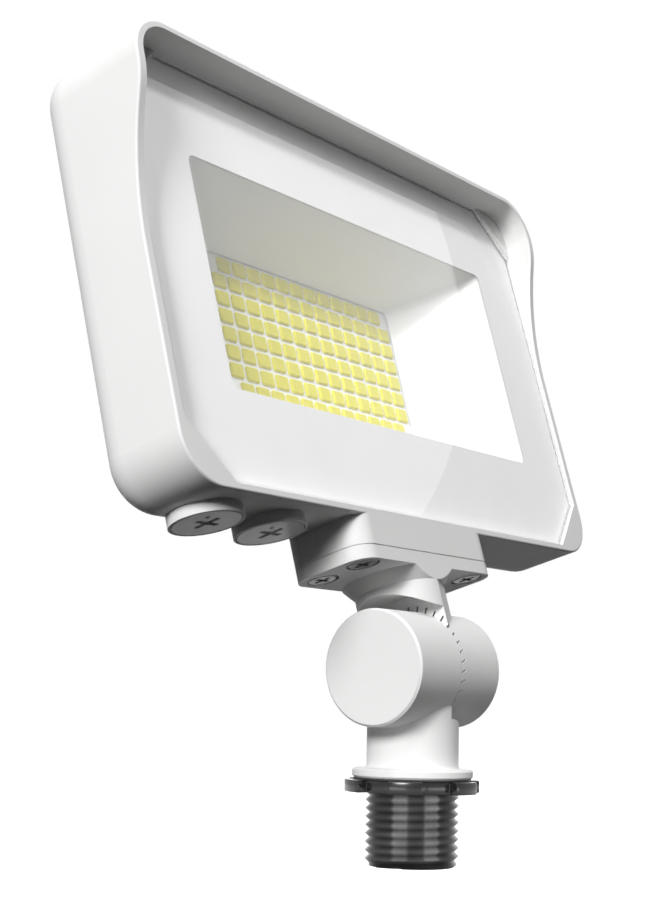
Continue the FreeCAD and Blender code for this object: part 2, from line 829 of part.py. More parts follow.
def visor_profile(sketch):
    """Side view of what lies in front of the rim and the visor's sweeping edge."""
    rim = "0 - rim_front"
    tip = "0 - visor_front"
    far = "0 - visor_front - corner_radius"
    low = "housing_bottom - corner_radius"
    high = "housing_top + corner_radius"
    rise = value("visor_high") - value("visor_low")
    run = value(rim) - value(tip)
    sweep = 2 * math.atan(run / rise)
    bend = value("visor_bend")
    radius = rise / math.sin(sweep) - bend
    normal = FreeCAD.Vector(0, 0, 1)
    start = FreeCAD.Vector(value(rim), value("visor_low"), 0)
    end = FreeCAD.Vector(value(tip), value("visor_high"), 0)
    lower = Part.Circle(start - FreeCAD.Vector(radius, 0, 0), normal, radius)
    upper = Part.Circle(end + FreeCAD.Vector(bend, 0, 0), normal, bend)
    sketch.addGeometry(Part.LineSegment(FreeCAD.Vector(value(rim), value(low), 0), start), False)
    sketch.addGeometry(Part.ArcOfCircle(lower, 0, sweep), False)
    sketch.addGeometry(Part.ArcOfCircle(upper, math.pi, math.pi + sweep), False)
    corners = [
        end,
        FreeCAD.Vector(value(tip), value(high), 0),
        FreeCAD.Vector(value(far), value(high), 0),
        FreeCAD.Vector(value(far), value(low), 0),
        FreeCAD.Vector(value(rim), value(low), 0),
    ]
    for first, second in zip(corners, corners[1:]):
        sketch.addGeometry(Part.LineSegment(first, second), False)
    sketch.addConstraint(Sketcher.Constraint("Tangent", 0, 2, 1, 1))
    sketch.addConstraint(Sketcher.Constraint("Tangent", 1, 2, 2, 2))
    sketch.addConstraint(Sketcher.Constraint("Tangent", 2, 1, 3, 1))
    for edge in (3, 4, 5):
        sketch.addConstraint(Sketcher.Constraint("Coincident", edge, 2, edge + 1, 1))
    sketch.addConstraint(Sketcher.Constraint("Coincident", 6, 2, 0, 1))
    for edge in (0, 3, 5):
        sketch.addConstraint(Sketcher.Constraint("Vertical", edge))
    for edge in (4, 6):
        sketch.addConstraint(Sketcher.Constraint("Horizontal", edge))
    pin(sketch, 0, 2, rim, "visor_low")
    pin(sketch, 3, 1, tip, "visor_high")
    pin(sketch, 5, 1, far, high)
    hold(sketch, "Radius", "visor_bend", 2)
    hold(sketch, "DistanceY", low, -1, 1, 6, 2)


def housing():
    """Die-cast head: rim, visor, wiring box, dial bosses, cooling fins and inner posts."""
    body = new_body("housing", HEAD)
    outline = sketch_on(body, "outline", "XZ_Plane", "0 - housing_back")
    rounded_rectangle(
        outline, "0 - half_width", "half_width", "housing_bottom", "housing_top", "corner_radius"
    )
    feature_from(body, "Pad", "shell", outline, "housing_back + visor_front")
    round_edges(body, "back_edge", "Fillet", "back_fillet", lambda point: near(point.y, "housing_back"))
    front = sketch_on(body, "visor_side", "YZ_Plane")
    visor_profile(front)
    cut = feature_from(body, "Pocket", "visor_sweep", front, "half_width * 2 + corner_radius")
    cut.SideType = "Symmetric"
    hood = sketch_on(body, "visor_inside", "XZ_Plane", "visor_front")
    rounded_rectangle(
        hood,
        f"0 - {RECESS_HALF}",
        RECESS_HALF,
        "housing_bottom - corner_radius * 2",
        RECESS_TOP,
        "corner_radius - rim_side",
    )
    feature_from(body, "Pocket", "hood", hood, "visor_front - rim_front")
    round_edges(body, "front_edge", "Fillet", "edge_fillet", on_front_outline)
    housing_outside(body)
    housing_inside(body)
    housing_posts(body)
    housing_holes(body)


def on_front_outline(point):
    """Is a point on the outer outline of the rim or the visor, at the front?"""
    reach = value("corner_radius")
    across = max(abs(point.x) - value("half_width") + reach, 0)
    middle = value("(housing_bottom + housing_top) / 2")
    up = max(abs(point.z - middle) - value("(housing_top - housing_bottom) / 2") + reach, 0)
    in_front = -point.y > value("rim_front") - value("edge_fillet") / 2
    return in_front and abs(math.hypot(across, up) - reach) < value("edge_fillet") / 2


def housing_outside(body):
    """Wiring box, dial bosses, cooling pad and fins."""
    box = sketch_on(body, "box_outline", "XY_Plane", BOX_BOTTOM)
    rounded_rectangle(
        box, "0 - flange_half", "flange_half", "0 - rim_front", "flange_back", "flange_corner"
    )
    feature_from(body, "Pad", "wiring_box", box, f"{CAVITY_BOTTOM} - seat_gap - {BOX_BOTTOM}")
    for number, across in enumerate((FIRST_DIAL, SECOND_DIAL)):
        cylinder(
            body,
            "Additive",
            f"dial_boss_{number}",
            "boss_radius",
            f"{CAVITY_BOTTOM} - seat_gap - {BOSS_BOTTOM}",
            place(across, "0 - dial_back", BOSS_BOTTOM),
        )
    half = "(board_half + fin_pad_margin)"
    low = "(led_centre - board_height - fin_pad_margin)"
    high = "(led_centre + board_height + fin_pad_margin)"
    pad = sketch_on(body, "fin_pad_outline", "XZ_Plane", "0 - housing_back - fin_pad")
    rounded_rectangle(pad, f"0 - {half}", half, low, high, "fin_pad_corner")
    feature_from(body, "Pad", "fin_pad_plate", pad, "fin_pad + back_wall / 2")
    fin = block(
        body,
        "Additive",
        "fin",
        (f"0 - {half} + fin_pad_corner", f"0 - {half} + fin_pad_corner + fin_thickness"),
        ("0 - housing_back - fin_pad - fin_height", "0 - housing_back - fin_pad / 2"),
        (f"{low} + fin_pad_corner", f"{high} - fin_pad_corner"),
    )
    pattern = body.newObject("PartDesign::LinearPattern", "fins")
    pattern.Originals = [fin]
    axis = next(line for line in body.Origin.OriginFeatures if line.Role == "X_Axis")
    pattern.Direction = (axis, [""])
    bind(pattern, Length=f"{half} * 2 - fin_pad_corner * 2 - fin_thickness", Occurrences="fin_count")
    body.Tip = pattern


def housing_inside(body):
    """Glass recess, cavity, board seat and the way in for the wires."""
    recess = sketch_on(body, "recess", "XZ_Plane", "rim_front")
    octagon(recess, RECESS_HALF, RECESS_BOTTOM, RECESS_TOP, "corner_cut")
    feature_from(body, "Pocket", "glass_recess", recess, f"rim_front - {LEDGE}")
    cavity = sketch_on(body, "cavity_outline", "XZ_Plane", "rim_front")
    octagon(cavity, CAVITY_HALF, CAVITY_BOTTOM, CAVITY_TOP, CAVITY_CUT)
    feature_from(body, "Pocket", "cavity", cavity, f"rim_front - {FLOOR}")
    wide = sketch_on(body, "wide_outline", "XZ_Plane", f"{LEDGE} - corner_web")
    octagon(wide, CAVITY_HALF, CAVITY_BOTTOM, CAVITY_TOP, "inner_cut")
    feature_from(body, "Pocket", "wide_cavity", wide, f"{LEDGE} - corner_web - {FLOOR}")
    block(
        body,
        "Subtractive",
        "board_seat",
        ("0 - board_half - board_margin", "board_half + board_margin"),
        (BOARD_FLOOR, f"{FLOOR} + seat_gap"),
        ("led_centre - board_height - board_margin", "led_centre + board_height + board_margin"),
    )
    opening = sketch_on(body, "box_opening", "XY_Plane", f"{CAVITY_BOTTOM} + seat_gap")
    wiring_opening(opening)
    feature_from(body, "Pocket", "wire_entry", opening, f"{CAVITY_BOTTOM} + seat_gap - {BOX_BOTTOM}")


def reflector_post_places():
    """Where the reflector is screwed down: across and up."""
    return [
        (across, up)
        for across in (POST_SIDE, f"0 - {POST_SIDE}")
        for up in ("led_centre - post_spread", "led_centre + post_spread")
    ]


def driver_post_places():
    """Where the driver board is screwed down: across and up."""
    return [
        (across, DRIVER_POST_HEIGHT)
        for across in (
            f"{DRIVER_HALF} - driver_post_inset",
            "driver_post_inner",
            "0 - driver_post_inner",
            f"driver_post_inset - {DRIVER_HALF}",
        )
    ]


def board_screw_places():
    """Where the light source's board is screwed down: across and up."""
    side = "(board_half - board_screw_inset)"
    reach = "(board_height - board_screw_inset)"
    return [
        (across, up)
        for across in (side, f"0 - {side}")
        for up in (f"led_centre - {reach}", f"led_centre + {reach}")
    ]


def housing_posts(body):
    """Posts that the reflector and the driver board stand on, drilled for their screws."""
    stands = [
        ("reflector_post", reflector_post_places(), "post_radius", POST_TOP),
        ("driver_stand", driver_post_places(), "driver_post", DRIVER_BACK),
        ("earth_stand", [EARTH_PLACE], "earth_boss_radius", EARTH_TOP),
    ]
    for name, places, radius, top in stands:
        for number, (across, up) in enumerate(places):
            foot = place(across, f"({FLOOR} - seat_gap)", up, "front")
            cylinder(body, "Additive", f"{name}_{number}", radius, f"{top} - {FLOOR} + seat_gap", foot)


def housing_holes(body):
    """Screw holes, dial seats and shaft bores."""
    small = "small_screw_radius"
    drilled = [
        ("reflector_hole", reflector_post_places(), POST_TOP, small, "small_screw_length - reflector_flange"),
        ("driver_hole", driver_post_places(), DRIVER_BACK, small, "small_screw_length - driver_thickness"),
        (
            "board_hole",
            board_screw_places(),
            BOARD_FLOOR,
            small,
            "board_screw_length - board_thickness - pad_thickness",
        ),
        ("earth_hole", [EARTH_PLACE], EARTH_TOP, "earth_screw_radius", "earth_screw_length"),
    ]
    for name, places, surface, radius, reach in drilled:
        depth = f"({reach} + loose_gap)"
        for number, (across, up) in enumerate(places):
            where = place(across, f"({surface} - {depth})", up, "front")
            cylinder(body, "Subtractive", f"{name}_{number}", f"{radius} + fitted_gap", depth, where)
    for number, (across, forward) in enumerate(arm_screw_places()):
        cylinder(
            body,
            "Subtractive",
            f"arm_hole_{number}",
            "arm_screw_radius + fitted_gap",
            "arm_screw_length",
            place(across, forward, BOX_BOTTOM),
        )
    for number, across in enumerate((FIRST_DIAL, SECOND_DIAL)):
        cylinder(
            body,
            "Subtractive",
            f"dial_seat_{number}",
            "dial_radius + dial_rim_gap",
            f"{DIAL_SEAT} - {BOSS_BOTTOM}",
            place(across, "0 - dial_back", BOSS_BOTTOM),
        )
        cylinder(
            body,
            "Subtractive",
            f"shaft_bore_{number}",
            "shaft_radius + running_gap",
            f"{CAVITY_BOTTOM} - {BOSS_BOTTOM} + seat_gap",
            place(across, "0 - dial_back", BOSS_BOTTOM),
        )
        cylinder(
            body,
            "Subtractive",
            f"ring_groove_{number}",
            "shaft_radius + seat_gap * 2 + seal_ring_section",
            "seal_ring_section + seat_gap * 2",
            place(across, "0 - dial_back", f"{DIAL_SEAT} + seal_ring_section"),
        )


def glass_and_gasket():
    """Clear plate with cut corners, and the rubber frame that it beds on."""
    glass = new_body("lens_glass", HEAD)
    half = f"({RECESS_HALF} - loose_gap)"
    bottom = f"({RECESS_BOTTOM} + loose_gap)"
    top = f"({RECESS_TOP} - loose_gap)"
    cut = f"(corner_cut - {CORNER_SHARE} * loose_gap)"
    outline = sketch_on(glass, "outline", "XZ_Plane", GLASS_BACK)
    octagon(outline, half, bottom, top, cut)
    feature_from(glass, "Pad", "plate", outline, "glass_thickness")
    round_edges(glass, "edge_bevel", "Chamfer", "glass_bevel", lambda point: near(point.y, "0 - glass_front"))
    gasket = new_body("lens_gasket", HEAD)
    frame = sketch_on(gasket, "frame", "XZ_Plane", LEDGE)
    octagon(frame, half, bottom, top, cut)
    inner_cut = f"({cut} - {CORNER_SHARE} * gasket_width)"
    octagon(
        frame, f"({half} - gasket_width)", f"({bottom} + gasket_width)", f"({top} - gasket_width)", inner_cut
    )
    feature_from(gasket, "Pad", "bed", frame, "gasket_thickness")


def reflector():
    """White tray: a flange behind the glass and four sloping walls down to the light source."""
    body = new_body("reflector", HEAD)
    flange = sketch_on(body, "flange_outline", "XZ_Plane", REFLECTOR_SEAT)
    rounded_rectangle(
        flange,
        f"0 - {REFLECTOR_HALF}",
        REFLECTOR_HALF,
        f"{CAVITY_BOTTOM} + reflector_edge",
        f"{CAVITY_TOP} - reflector_edge",
        "reflector_corner",
    )
    feature_from(body, "Pad", "flange", flange, "reflector_flange")
    depth = f"({REFLECTOR_FRONT} - {REFLECTOR_BACK})"
    wall_across = f"(reflector_wall * hypot(opening_half - window_half; {depth}) / {depth})"
    wall_up = f"(reflector_wall * hypot(opening_height - window_height; {depth}) / {depth})"
    for way, name, across_wall, up_wall in (
        ("Additive", "walls", wall_across, wall_up),
        ("Subtractive", "inside", "0", "0"),
    ):
        loft = body.newObject(f"PartDesign::{way}Loft", name)
        outlines = []
        for end, offset, half, height in (
            ("back", REFLECTOR_BACK, "window_half", "window_height"),
            ("front", REFLECTOR_FRONT, "opening_half", "opening_height"),
        ):
            section = sketch_on(body, f"{name}_{end}", "XZ_Plane", offset)
            rounded_rectangle(
                section,
                f"0 - {half} - {across_wall}",
                f"{half} + {across_wall}",
                f"led_centre - {height} - {up_wall}",
                f"led_centre + {height} + {up_wall}",
                "opening_corner",
            )
            outlines.append(section)
        loft.Profile = outlines[0]
        loft.Sections = outlines[1:]
        loft.Ruled = True
        body.Tip = loft
    well = "(small_screw_head + loose_gap)"
    for number, (across, up) in enumerate(reflector_post_places()):
        foot = place(across, POST_TOP, up, "front")
        seat = place(across, SCREW_WELL, up, "front")
        cylinder(
            body,
            "Additive",
            f"screw_cup_{number}",
            f"{well} + reflector_wall",
            f"{REFLECTOR_FRONT} - {POST_TOP}",
            foot,
        )
        cylinder(body, "Subtractive", f"screw_well_{number}", well, f"{REFLECTOR_FRONT} - {SCREW_WELL}", seat)
        hole = "small_screw_radius + seat_gap"
        cylinder(body, "Subtractive", f"screw_hole_{number}", hole, "reflector_flange", foot)


def light_source():
    """Board, heat pad and the rows of emitters."""
    pad = new_body("thermal_pad", HEAD)
    block(
        pad,
        "Additive",
        "sheet",
        ("pad_inset - board_half", "board_half - pad_inset"),
        (BOARD_FLOOR, BOARD_BACK),
        ("led_centre - board_height + pad_inset", "led_centre + board_height - pad_inset"),
    )
    board = new_body("led_board", HEAD)
    block(
        board,
        "Additive",
        "plate",
        ("0 - board_half", "board_half"),
        (BOARD_BACK, BOARD_FRONT),
        ("led_centre - board_height", "led_centre + board_height"),
    )
    for number, (across, up) in enumerate(board_screw_places()):
        for piece, back, depth in (
            (pad, BOARD_FLOOR, "pad_thickness"),
            (board, BOARD_BACK, "board_thickness"),
        ):
            where = place(across, back, up, "front")
            cylinder(
                piece, "Subtractive", f"screw_hole_{number}", "small_screw_radius + seat_gap", depth, where
            )
    new_group("led_chips", [led_at(across, up) for across, up in led_places()])


def led_places():
    """Centres of the emitters: the first and last rows have one fewer, half a pitch in."""
    columns = int(value("led_columns"))
    rows = int(value("led_rows"))
    places = []
    for row in range(rows):
        count = columns - 1 if row in (0, rows - 1) else columns
        for column in range(count):
            across = (column - (count - 1) / 2) * value("led_pitch_across")
            up = value("led_centre") + (row - (rows - 1) / 2) * value("led_pitch_up")
            places.append((across, up))
    return places


def led_at(across, up):
    """One emitter with its four corners cut."""
    width, height, thickness = (value(name) for name in ("led_width", "led_height", "led_thickness"))
    corner = FreeCAD.Vector(across - width / 2, -value(BOARD_FRONT) - thickness, up - height / 2)
    chip = Part.makeBox(width, thickness, height, corner)
    sides = [edge for edge in chip.Edges if abs(edge.tangentAt(edge.FirstParameter).y) > 0.5]
    return chip.makeChamfer(value("led_corner"), sides)


def driver():
    """Driver board with its parts, selector switches and the leads to the light source."""
    board = new_body("driver_board", HEAD)
    block(
        board,
        "Additive",
        "plate",
        (f"0 - {DRIVER_HALF}", DRIVER_HALF),
        (DRIVER_BACK, DRIVER_FRONT),
        (DRIVER_BOTTOM, DRIVER_TOP),
    )
    for number, (across, up) in enumerate(driver_post_places()):
        where = place(across, DRIVER_BACK, up, "front")
        hole = "small_screw_radius + seat_gap"
        cylinder(board, "Subtractive", f"screw_hole_{number}", hole, "driver_thickness", where)
    middle = f"({DRIVER_BOTTOM} + {DRIVER_TOP}) / 2"
    transformer = new_body("driver_transformer", HEAD)
    coil_end = f"({DRIVER_HALF} - transformer_inset)"
    block(
        transformer,
        "Additive",
        "coil",
        (f"{coil_end} - transformer_length", coil_end),
        (DRIVER_FRONT, f"{DRIVER_FRONT} + transformer_height"),
        (f"{middle} - transformer_width / 2", f"{middle} + transformer_width / 2"),
    )
    terminal = new_body("terminal_block", HEAD)
    low = f"{DRIVER_BOTTOM} + board_margin"
    block(
        terminal,
        "Additive",
        "case",
        ("0 - terminal_place", "terminal_length - terminal_place"),
        (DRIVER_FRONT, f"{DRIVER_FRONT} + terminal_height"),
        (low, f"{low} + terminal_width"),
    )
    for number in (1, 2, 3):
        across = f"(terminal_length * {number} / 4 - terminal_place)"
        cylinder(
            terminal,
            "Subtractive",
            f"wire_hole_{number}",
            "lead_radius * 2",
            "terminal_width / 2",
            place(across, f"({DRIVER_FRONT} + terminal_height / 2)", low),
        )
    low_middle = f"({DRIVER_BOTTOM} + capacitor_radius + board_margin)"
    can_pitch = "(capacitor_radius * 2 + loose_gap)"
    cans = [
        Part.makeCylinder(
            value("capacitor_radius"),
            value("capacitor_height"),
            spot(f"capacitor_place + {number} * {can_pitch}", DRIVER_FRONT, low_middle),
            -BACK,
        )
        for number in range(3)
    ]
    new_group("driver_capacitors", cans)
    size = [value(name) for name in ("chip_length", "chip_height", "chip_width")]
    chips = [
        Part.makeBox(
            *size,
            spot(
                f"chip_place - {number} * (chip_length + loose_gap)",
                f"{DRIVER_FRONT} + chip_height",
                f"{DRIVER_BOTTOM} + terminal_width + board_margin * 2",
            ),
        )
        for number in range(4)
    ]
    new_group("driver_chips", chips)
    new_group("selector_switches", [switch_at(across) for across in (FIRST_DIAL, SECOND_DIAL)])
    new_group("led_leads", [lead_at(side) for side in ("0 - lead_spread", "lead_spread")])


def switch_at(across):
    """Rotary switch on the driver board, open below for a dial's shaft."""
    half = "switch_width / 2"
    depth = f"((0 - dial_back) - {DRIVER_FRONT})"
    corner = spot(f"{across} - {half}", f"{DRIVER_FRONT} + 2 * {depth}", SWITCH_BOTTOM)
    case = Part.makeBox(value("switch_width"), 2 * value(depth), value("switch_height"), corner)
    hole = Part.makeCylinder(
        value("shaft_radius - clip_groove + running_gap"),
        value("shaft_insert + loose_gap"),
        spot(across, "0 - dial_back", SWITCH_BOTTOM),
        UP,
    )
    return case.cut(hole)


def lead_at(across):
    """Short wire from the driver board over its top edge down to the light source's board."""
    bend = value("lead_bend")
    level = f"({DRIVER_FRONT} + lead_rise)"
    start = spot(across, DRIVER_FRONT, f"{DRIVER_TOP} - lead_inset")
    end = spot(across, BOARD_FRONT, "led_centre - board_height + lead_inset")
    over = spot(across, level, f"{DRIVER_TOP} - lead_inset")
    turn = spot(across, level, "led_centre - board_height + lead_inset")
    slant = math.sqrt(0.5)
    first = [over + BACK * bend, over + (BACK + UP) * bend * (1 - slant), over + UP * bend]
    second = [turn - UP * bend, turn + (BACK - UP) * bend * (1 - slant), turn + BACK * bend]
    edges = [
        Part.LineSegment(start, first[0]).toShape(),
        Part.Arc(*first).toShape(),
        Part.LineSegment(first[2], second[0]).toShape(),
        Part.Arc(*second).toShape(),
        Part.LineSegment(second[2], end).toShape(),
    ]
    path = Part.Wire(edges)
    section = Part.Wire(Part.Circle(start, -BACK, value("lead_radius")).toShape())
    return path.makePipeShell([section], True, False)


def selector_dial(label, across):
    """Flush disc with a cross slot and a dot, its shaft and its retaining clip."""
    dial = new_body(f"{label}_dial", HEAD)
    back = "0 - dial_back"
    cylinder(dial, "Additive", "disc", "dial_radius", "dial_thickness", place(across, back, BOSS_BOTTOM))
    shaft_top = f"{SWITCH_BOTTOM} + shaft_insert"
    foot = f"({BOSS_BOTTOM} + dial_thickness / 2)"
    clip_low = f"({CAVITY_BOTTOM} + seat_gap)"
    thin = "(shaft_radius - clip_groove)"
    cylinder(dial, "Additive", "shaft", "shaft_radius", f"{clip_low} - {foot}", place(across, back, foot))
    cylinder(dial, "Additive", "shaft_end", thin, f"{shaft_top} - {foot}", place(across, back, foot))
    half_length = "slot_length / 2"
    half_width = "slot_width / 2"
    up = (f"{BOSS_BOTTOM} - seat_gap", f"{BOSS_BOTTOM} + slot_depth")
    slots = [("slot_across", half_length, half_width), ("slot_deep", half_width, half_length)]
    for name, along, beside in slots:
        block(
            dial,
            "Subtractive",
            name,
            (f"{across} - {along}", f"{across} + {along}"),
            (f"{back} - {beside}", f"{back} + {beside}"),
            up,
        )
    dot = "(dot_place * sqrt(0.5))"
    cylinder(
        dial,
        "Additive",
        "dot",
        "dot_radius",
        "dot_height + dial_thickness / 2",
        place(f"{across} - {dot}", f"({back} + {dot})", f"{BOSS_BOTTOM} - dot_height"),
    )
    clip = new_body(f"{label}_dial_clip", HEAD)
    where = place(across, back, f"({clip_low} + fitted_gap)")
    cylinder(clip, "Additive", "ring", "clip_radius", "clip_thickness", where)
    cylinder(clip, "Subtractive", "hole", f"{thin} + fitted_gap", "clip_thickness", where)
    block(
        clip,
        "Subtractive",
        "mouth",
        (f"{across} - clip_mouth / 2", f"{across} + clip_mouth / 2"),
        (back, f"{back} + clip_radius"),
        (clip_low, f"{clip_low} + clip_thickness * 2"),
    )


def dial_o_rings():
    """Rubber rings round the two dial shafts, held in the housing."""
    section = value("seal_ring_section") / 2
    rings = []
    for across in (FIRST_DIAL, SECOND_DIAL):
        middle = spot(across, "0 - dial_back", f"{DIAL_SEAT} + seal_ring_section * 1.5 + seat_gap")
        rings.append(Part.makeTorus(value("shaft_radius + seat_gap * 1.5") + section, section, middle, UP))
    new_group("dial_o_rings", rings)


def screws():
    """The light's screws, each kind in one node."""
    arm = [
        screw(
            spot(across, forward, "flange_bottom + arm_screw_head_height"),
            UP,
            "arm_screw_radius",
            "arm_screw_length",
            "arm_screw_head",
            "arm_screw_head_height",
        )
        for across, forward in arm_screw_places()
    ]
    new_group("arm_screws", arm)
    small = "small_screw_radius"
    small_head = "small_screw_head"
    earth = "earth_screw_radius"
    for label, places, surface, radius, length, head in (
        ("reflector_screws", reflector_post_places(), SCREW_WELL, small, "small_screw_length", small_head),
        ("driver_screws", driver_post_places(), DRIVER_FRONT, small, "small_screw_length", small_head),
        ("board_screws", board_screw_places(), BOARD_FRONT, small, "board_screw_length", small_head),
        ("earth_screw", [EARTH_PLACE], EARTH_TOP, earth, "earth_screw_length", "earth_screw_head"),
    ):
        made = [
            screw(spot(across, surface, up), BACK, radius, length, head, "small_screw_head_height")
            for across, up in places
        ]
        new_group(label, made)


knuckle_base()
threaded_nipple()
locknut_seal()
locknut()
pivot_bolt()
knuckle_o_ring()
mounting_arm()
arm_gasket()
housing()
glass_and_gasket()
reflector()
light_source()
driver()
selector_dial("power", FIRST_DIAL)
selector_dial("colour", SECOND_DIAL)
dial_o_rings()
screws()
doc.recompute()

for item in doc.Objects:
    if "Invalid" in item.State or "Error" in item.State:
        raise RuntimeError(f"{item.Name} failed: {item.State}")
for piece in PIECES:
    if piece.Shape.isNull() or not piece.Shape.isValid():
        raise RuntimeError(f"{piece.Label} has no valid shape")

os.makedirs("parts", exist_ok=True)
for piece in PIECES:
    piece.Shape.exportStep(f"parts/{piece.Label}.step")
    print(piece.Label, len(piece.Shape.Solids), round(piece.Shape.Volume, 2))
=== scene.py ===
import json
import math

import bmesh
import bpy
from bpy.props import FloatProperty, FloatVectorProperty, IntProperty, PointerProperty
from bpy.types import Operator, Panel, PropertyGroup
from mathutils import Matrix, Vector


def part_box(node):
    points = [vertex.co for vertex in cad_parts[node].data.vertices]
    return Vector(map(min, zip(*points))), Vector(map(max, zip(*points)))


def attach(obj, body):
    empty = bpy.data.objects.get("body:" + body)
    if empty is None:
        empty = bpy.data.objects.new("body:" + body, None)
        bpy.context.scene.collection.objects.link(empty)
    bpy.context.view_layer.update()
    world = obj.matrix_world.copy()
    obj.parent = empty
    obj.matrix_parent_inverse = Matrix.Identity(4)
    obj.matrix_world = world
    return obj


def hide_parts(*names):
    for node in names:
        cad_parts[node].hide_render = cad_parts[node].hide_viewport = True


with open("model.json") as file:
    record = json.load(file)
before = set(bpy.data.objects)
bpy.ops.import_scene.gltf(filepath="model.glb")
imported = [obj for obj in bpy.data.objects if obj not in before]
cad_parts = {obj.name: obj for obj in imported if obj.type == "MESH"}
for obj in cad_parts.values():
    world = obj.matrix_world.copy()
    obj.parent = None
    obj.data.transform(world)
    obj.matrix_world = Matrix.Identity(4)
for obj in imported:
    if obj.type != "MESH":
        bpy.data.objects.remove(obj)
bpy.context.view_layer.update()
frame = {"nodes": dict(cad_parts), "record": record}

bl_info = {
    "name": "Flood Light Dress",
    "version": (1, 0, 0),
    "blender": (4, 5, 0),
    "location": "View3D > Sidebar > Flood Light",
    "description": "Models the thread, locknut, emitters and glass border of a flood light, and its finishes",
    "category": "Add Mesh",
}

# Read from the record: the pivot of the head, how far the head leans at rest, and the thread
JOINTS = {joint["name"]: joint for joint in frame["record"]["behaviour"]["joints"]}
PIVOT = Vector(JOINTS["head_tilt"]["pos_m"])
DIAL_AXIS = JOINTS["power_dial_turn"]["axis"]
LEAN = math.atan2(DIAL_AXIS[1], DIAL_AXIS[2])
THREAD = next(mount for mount in frame["record"]["mounts"] if mount["name"] == "conduit_thread")

# Distance under which two points are one
TINY = 1e-6

# Finishes: detail of the noise, where the clouding starts and ends, strength of the relief, values of the
# glass, and how bright the thread's roots stay under the painted shade that darkens them against its crests
BROAD_DETAIL = 4.0
FINE_DETAIL = 2.0
CLOUD_START = 0.3
CLOUD_END = 0.6
RELIEF_STRENGTH = 0.5
GLASS_IOR = 1.33
GLASS_SHINE = 0.22
ROOT_PAINTED_SHADE = 0.3

# Locknut: faces round one lug and the gap beside it
LUG_FACES = 12

# Floor: grey that lights the object, grey that is seen, and a glow that is weakest under the object as a
# painted shadow
FLOOR_SIZE = 8.0
FLOOR_THROWN = 0.02
FLOOR_SEEN = 0.8
PAINTED_SHADOW_INNER = 0.08
PAINTED_SHADOW_OUTER = 0.3
PAINTED_SHADOW_GLOW = 0.3

# Lamps: where they stand, what they face, and their width and height
LIGHT_MIDDLE = (0.0, 0.0, 0.085)
SIDE_PLACE, SIDE_SIZE = (-1.067, -0.286, 0.554), (0.35, 0.35)
FRONT_PLACE, FRONT_SIZE = (-0.078, -0.553, 1.135), (0.12, 0.12)
ROUND_PLACE, ROUND_SIZE = (0.602, -0.389, 0.618), (0.41, 0.52)
ROUND_TARGET = (-0.084, -0.051, 0.144)
BACK_PLACE, BACK_SIZE = (0.8, 0.7, 0.6), (0.8, 0.8)

# Small lamps that stand round the thread, at these angles in degrees, and show as two bands on it
NEAR_TURNS = (171, 184, 197, 252, 265, 278)
NEAR_REACH = 0.3
NEAR_TARGET = (0.0, 0.0, -0.02)
NEAR_SIZE = (0.07, 0.05)
NEAR_SPREAD = math.radians(26)


def length(label, text, default):
    """A size in metres that a user may change."""
    return FloatProperty(name=label, description=text, default=default, min=0.0, precision=5, unit="LENGTH")


def tint(label, text, default):
    """A surface colour that a user may change."""
    return FloatVectorProperty(
        name=label, description=text, default=default, min=0.0, max=1.0, size=3, subtype="COLOR"
    )


def angle(label, text, default):
    """An angle that a user may change."""
    return FloatProperty(name=label, description=text, default=default, subtype="ANGLE")


def power(label, text, default):
    """The power of a lamp, which a user may change."""
    return FloatProperty(name=label, description=text, default=default, min=0.0, unit="POWER")


def share(label, text, default):
    """A strength from 0 to 1 that a user may change."""
    return FloatProperty(name=label, description=text, default=default, min=0.0, max=1.0)


def count(label, text, default, least, most):
    """A whole number that a user may change."""
    return IntProperty(name=label, description=text, default=default, min=least, max=most)


class FloodThreadSizes(PropertyGroup):
    """Sizes of the conduit nipple."""

    radius: length("Crest Radius", "Radius over the crests of the thread", THREAD["dims"]["r_mm"] / 1000)
    depth: length("Depth", "Depth of the thread from crest to root", 0.001)
    pitch: length("Pitch", "Rise of the thread in one turn", 0.001814)
    bore: length("Bore", "Radius of the way for the wires", 0.0076)
    spigot: length("Spigot", "Radius of the end that sits in the stem", 0.0088)
    steps: count("Steps", "Faces round one turn", 96, 24, 180)


class FloodLocknutSizes(PropertyGroup):
    """Sizes of the lugged locknut."""

    root: length("Root Radius", "Radius between the lugs", 0.0129)
    lug: length("Lug Radius", "Radius over the lugs", 0.0153)
    hole: length("Hole Radius", "Radius of the hole round the thread", 0.01058)
    bevel: length("Bevel", "Width of the broken edges", 0.00028)
    lugs: count("Lugs", "Number of lugs", 6, 3, 12)
    start: angle("First Lug", "Where the first lug starts", math.radians(13))


class FloodEmitterSizes(PropertyGroup):
    """Sizes of the field of emitters."""

    width: length("Width", "Width of one emitter", 0.0045)
    height: length("Height", "Height of one emitter", 0.0037)
    corner: length("Corner", "Cut at the corners of an emitter", 0.00042)
    thickness: length("Thickness", "Height of an emitter over its board", 0.0006)
    edge: length("Edge", "Cut along an emitter's front edges", 0.00033)
    across: length("Pitch Across", "Distance between columns", 0.0055)
    up: length("Pitch Up", "Distance between rows", 0.00456)
    centre: length("Centre", "Height of the field's middle over the pivot", 0.0821)
    columns: count("Columns", "Emitters in a full row", 13, 2, 30)
    rows: count("Rows", "Rows, of which the first and last are short", 8, 3, 30)


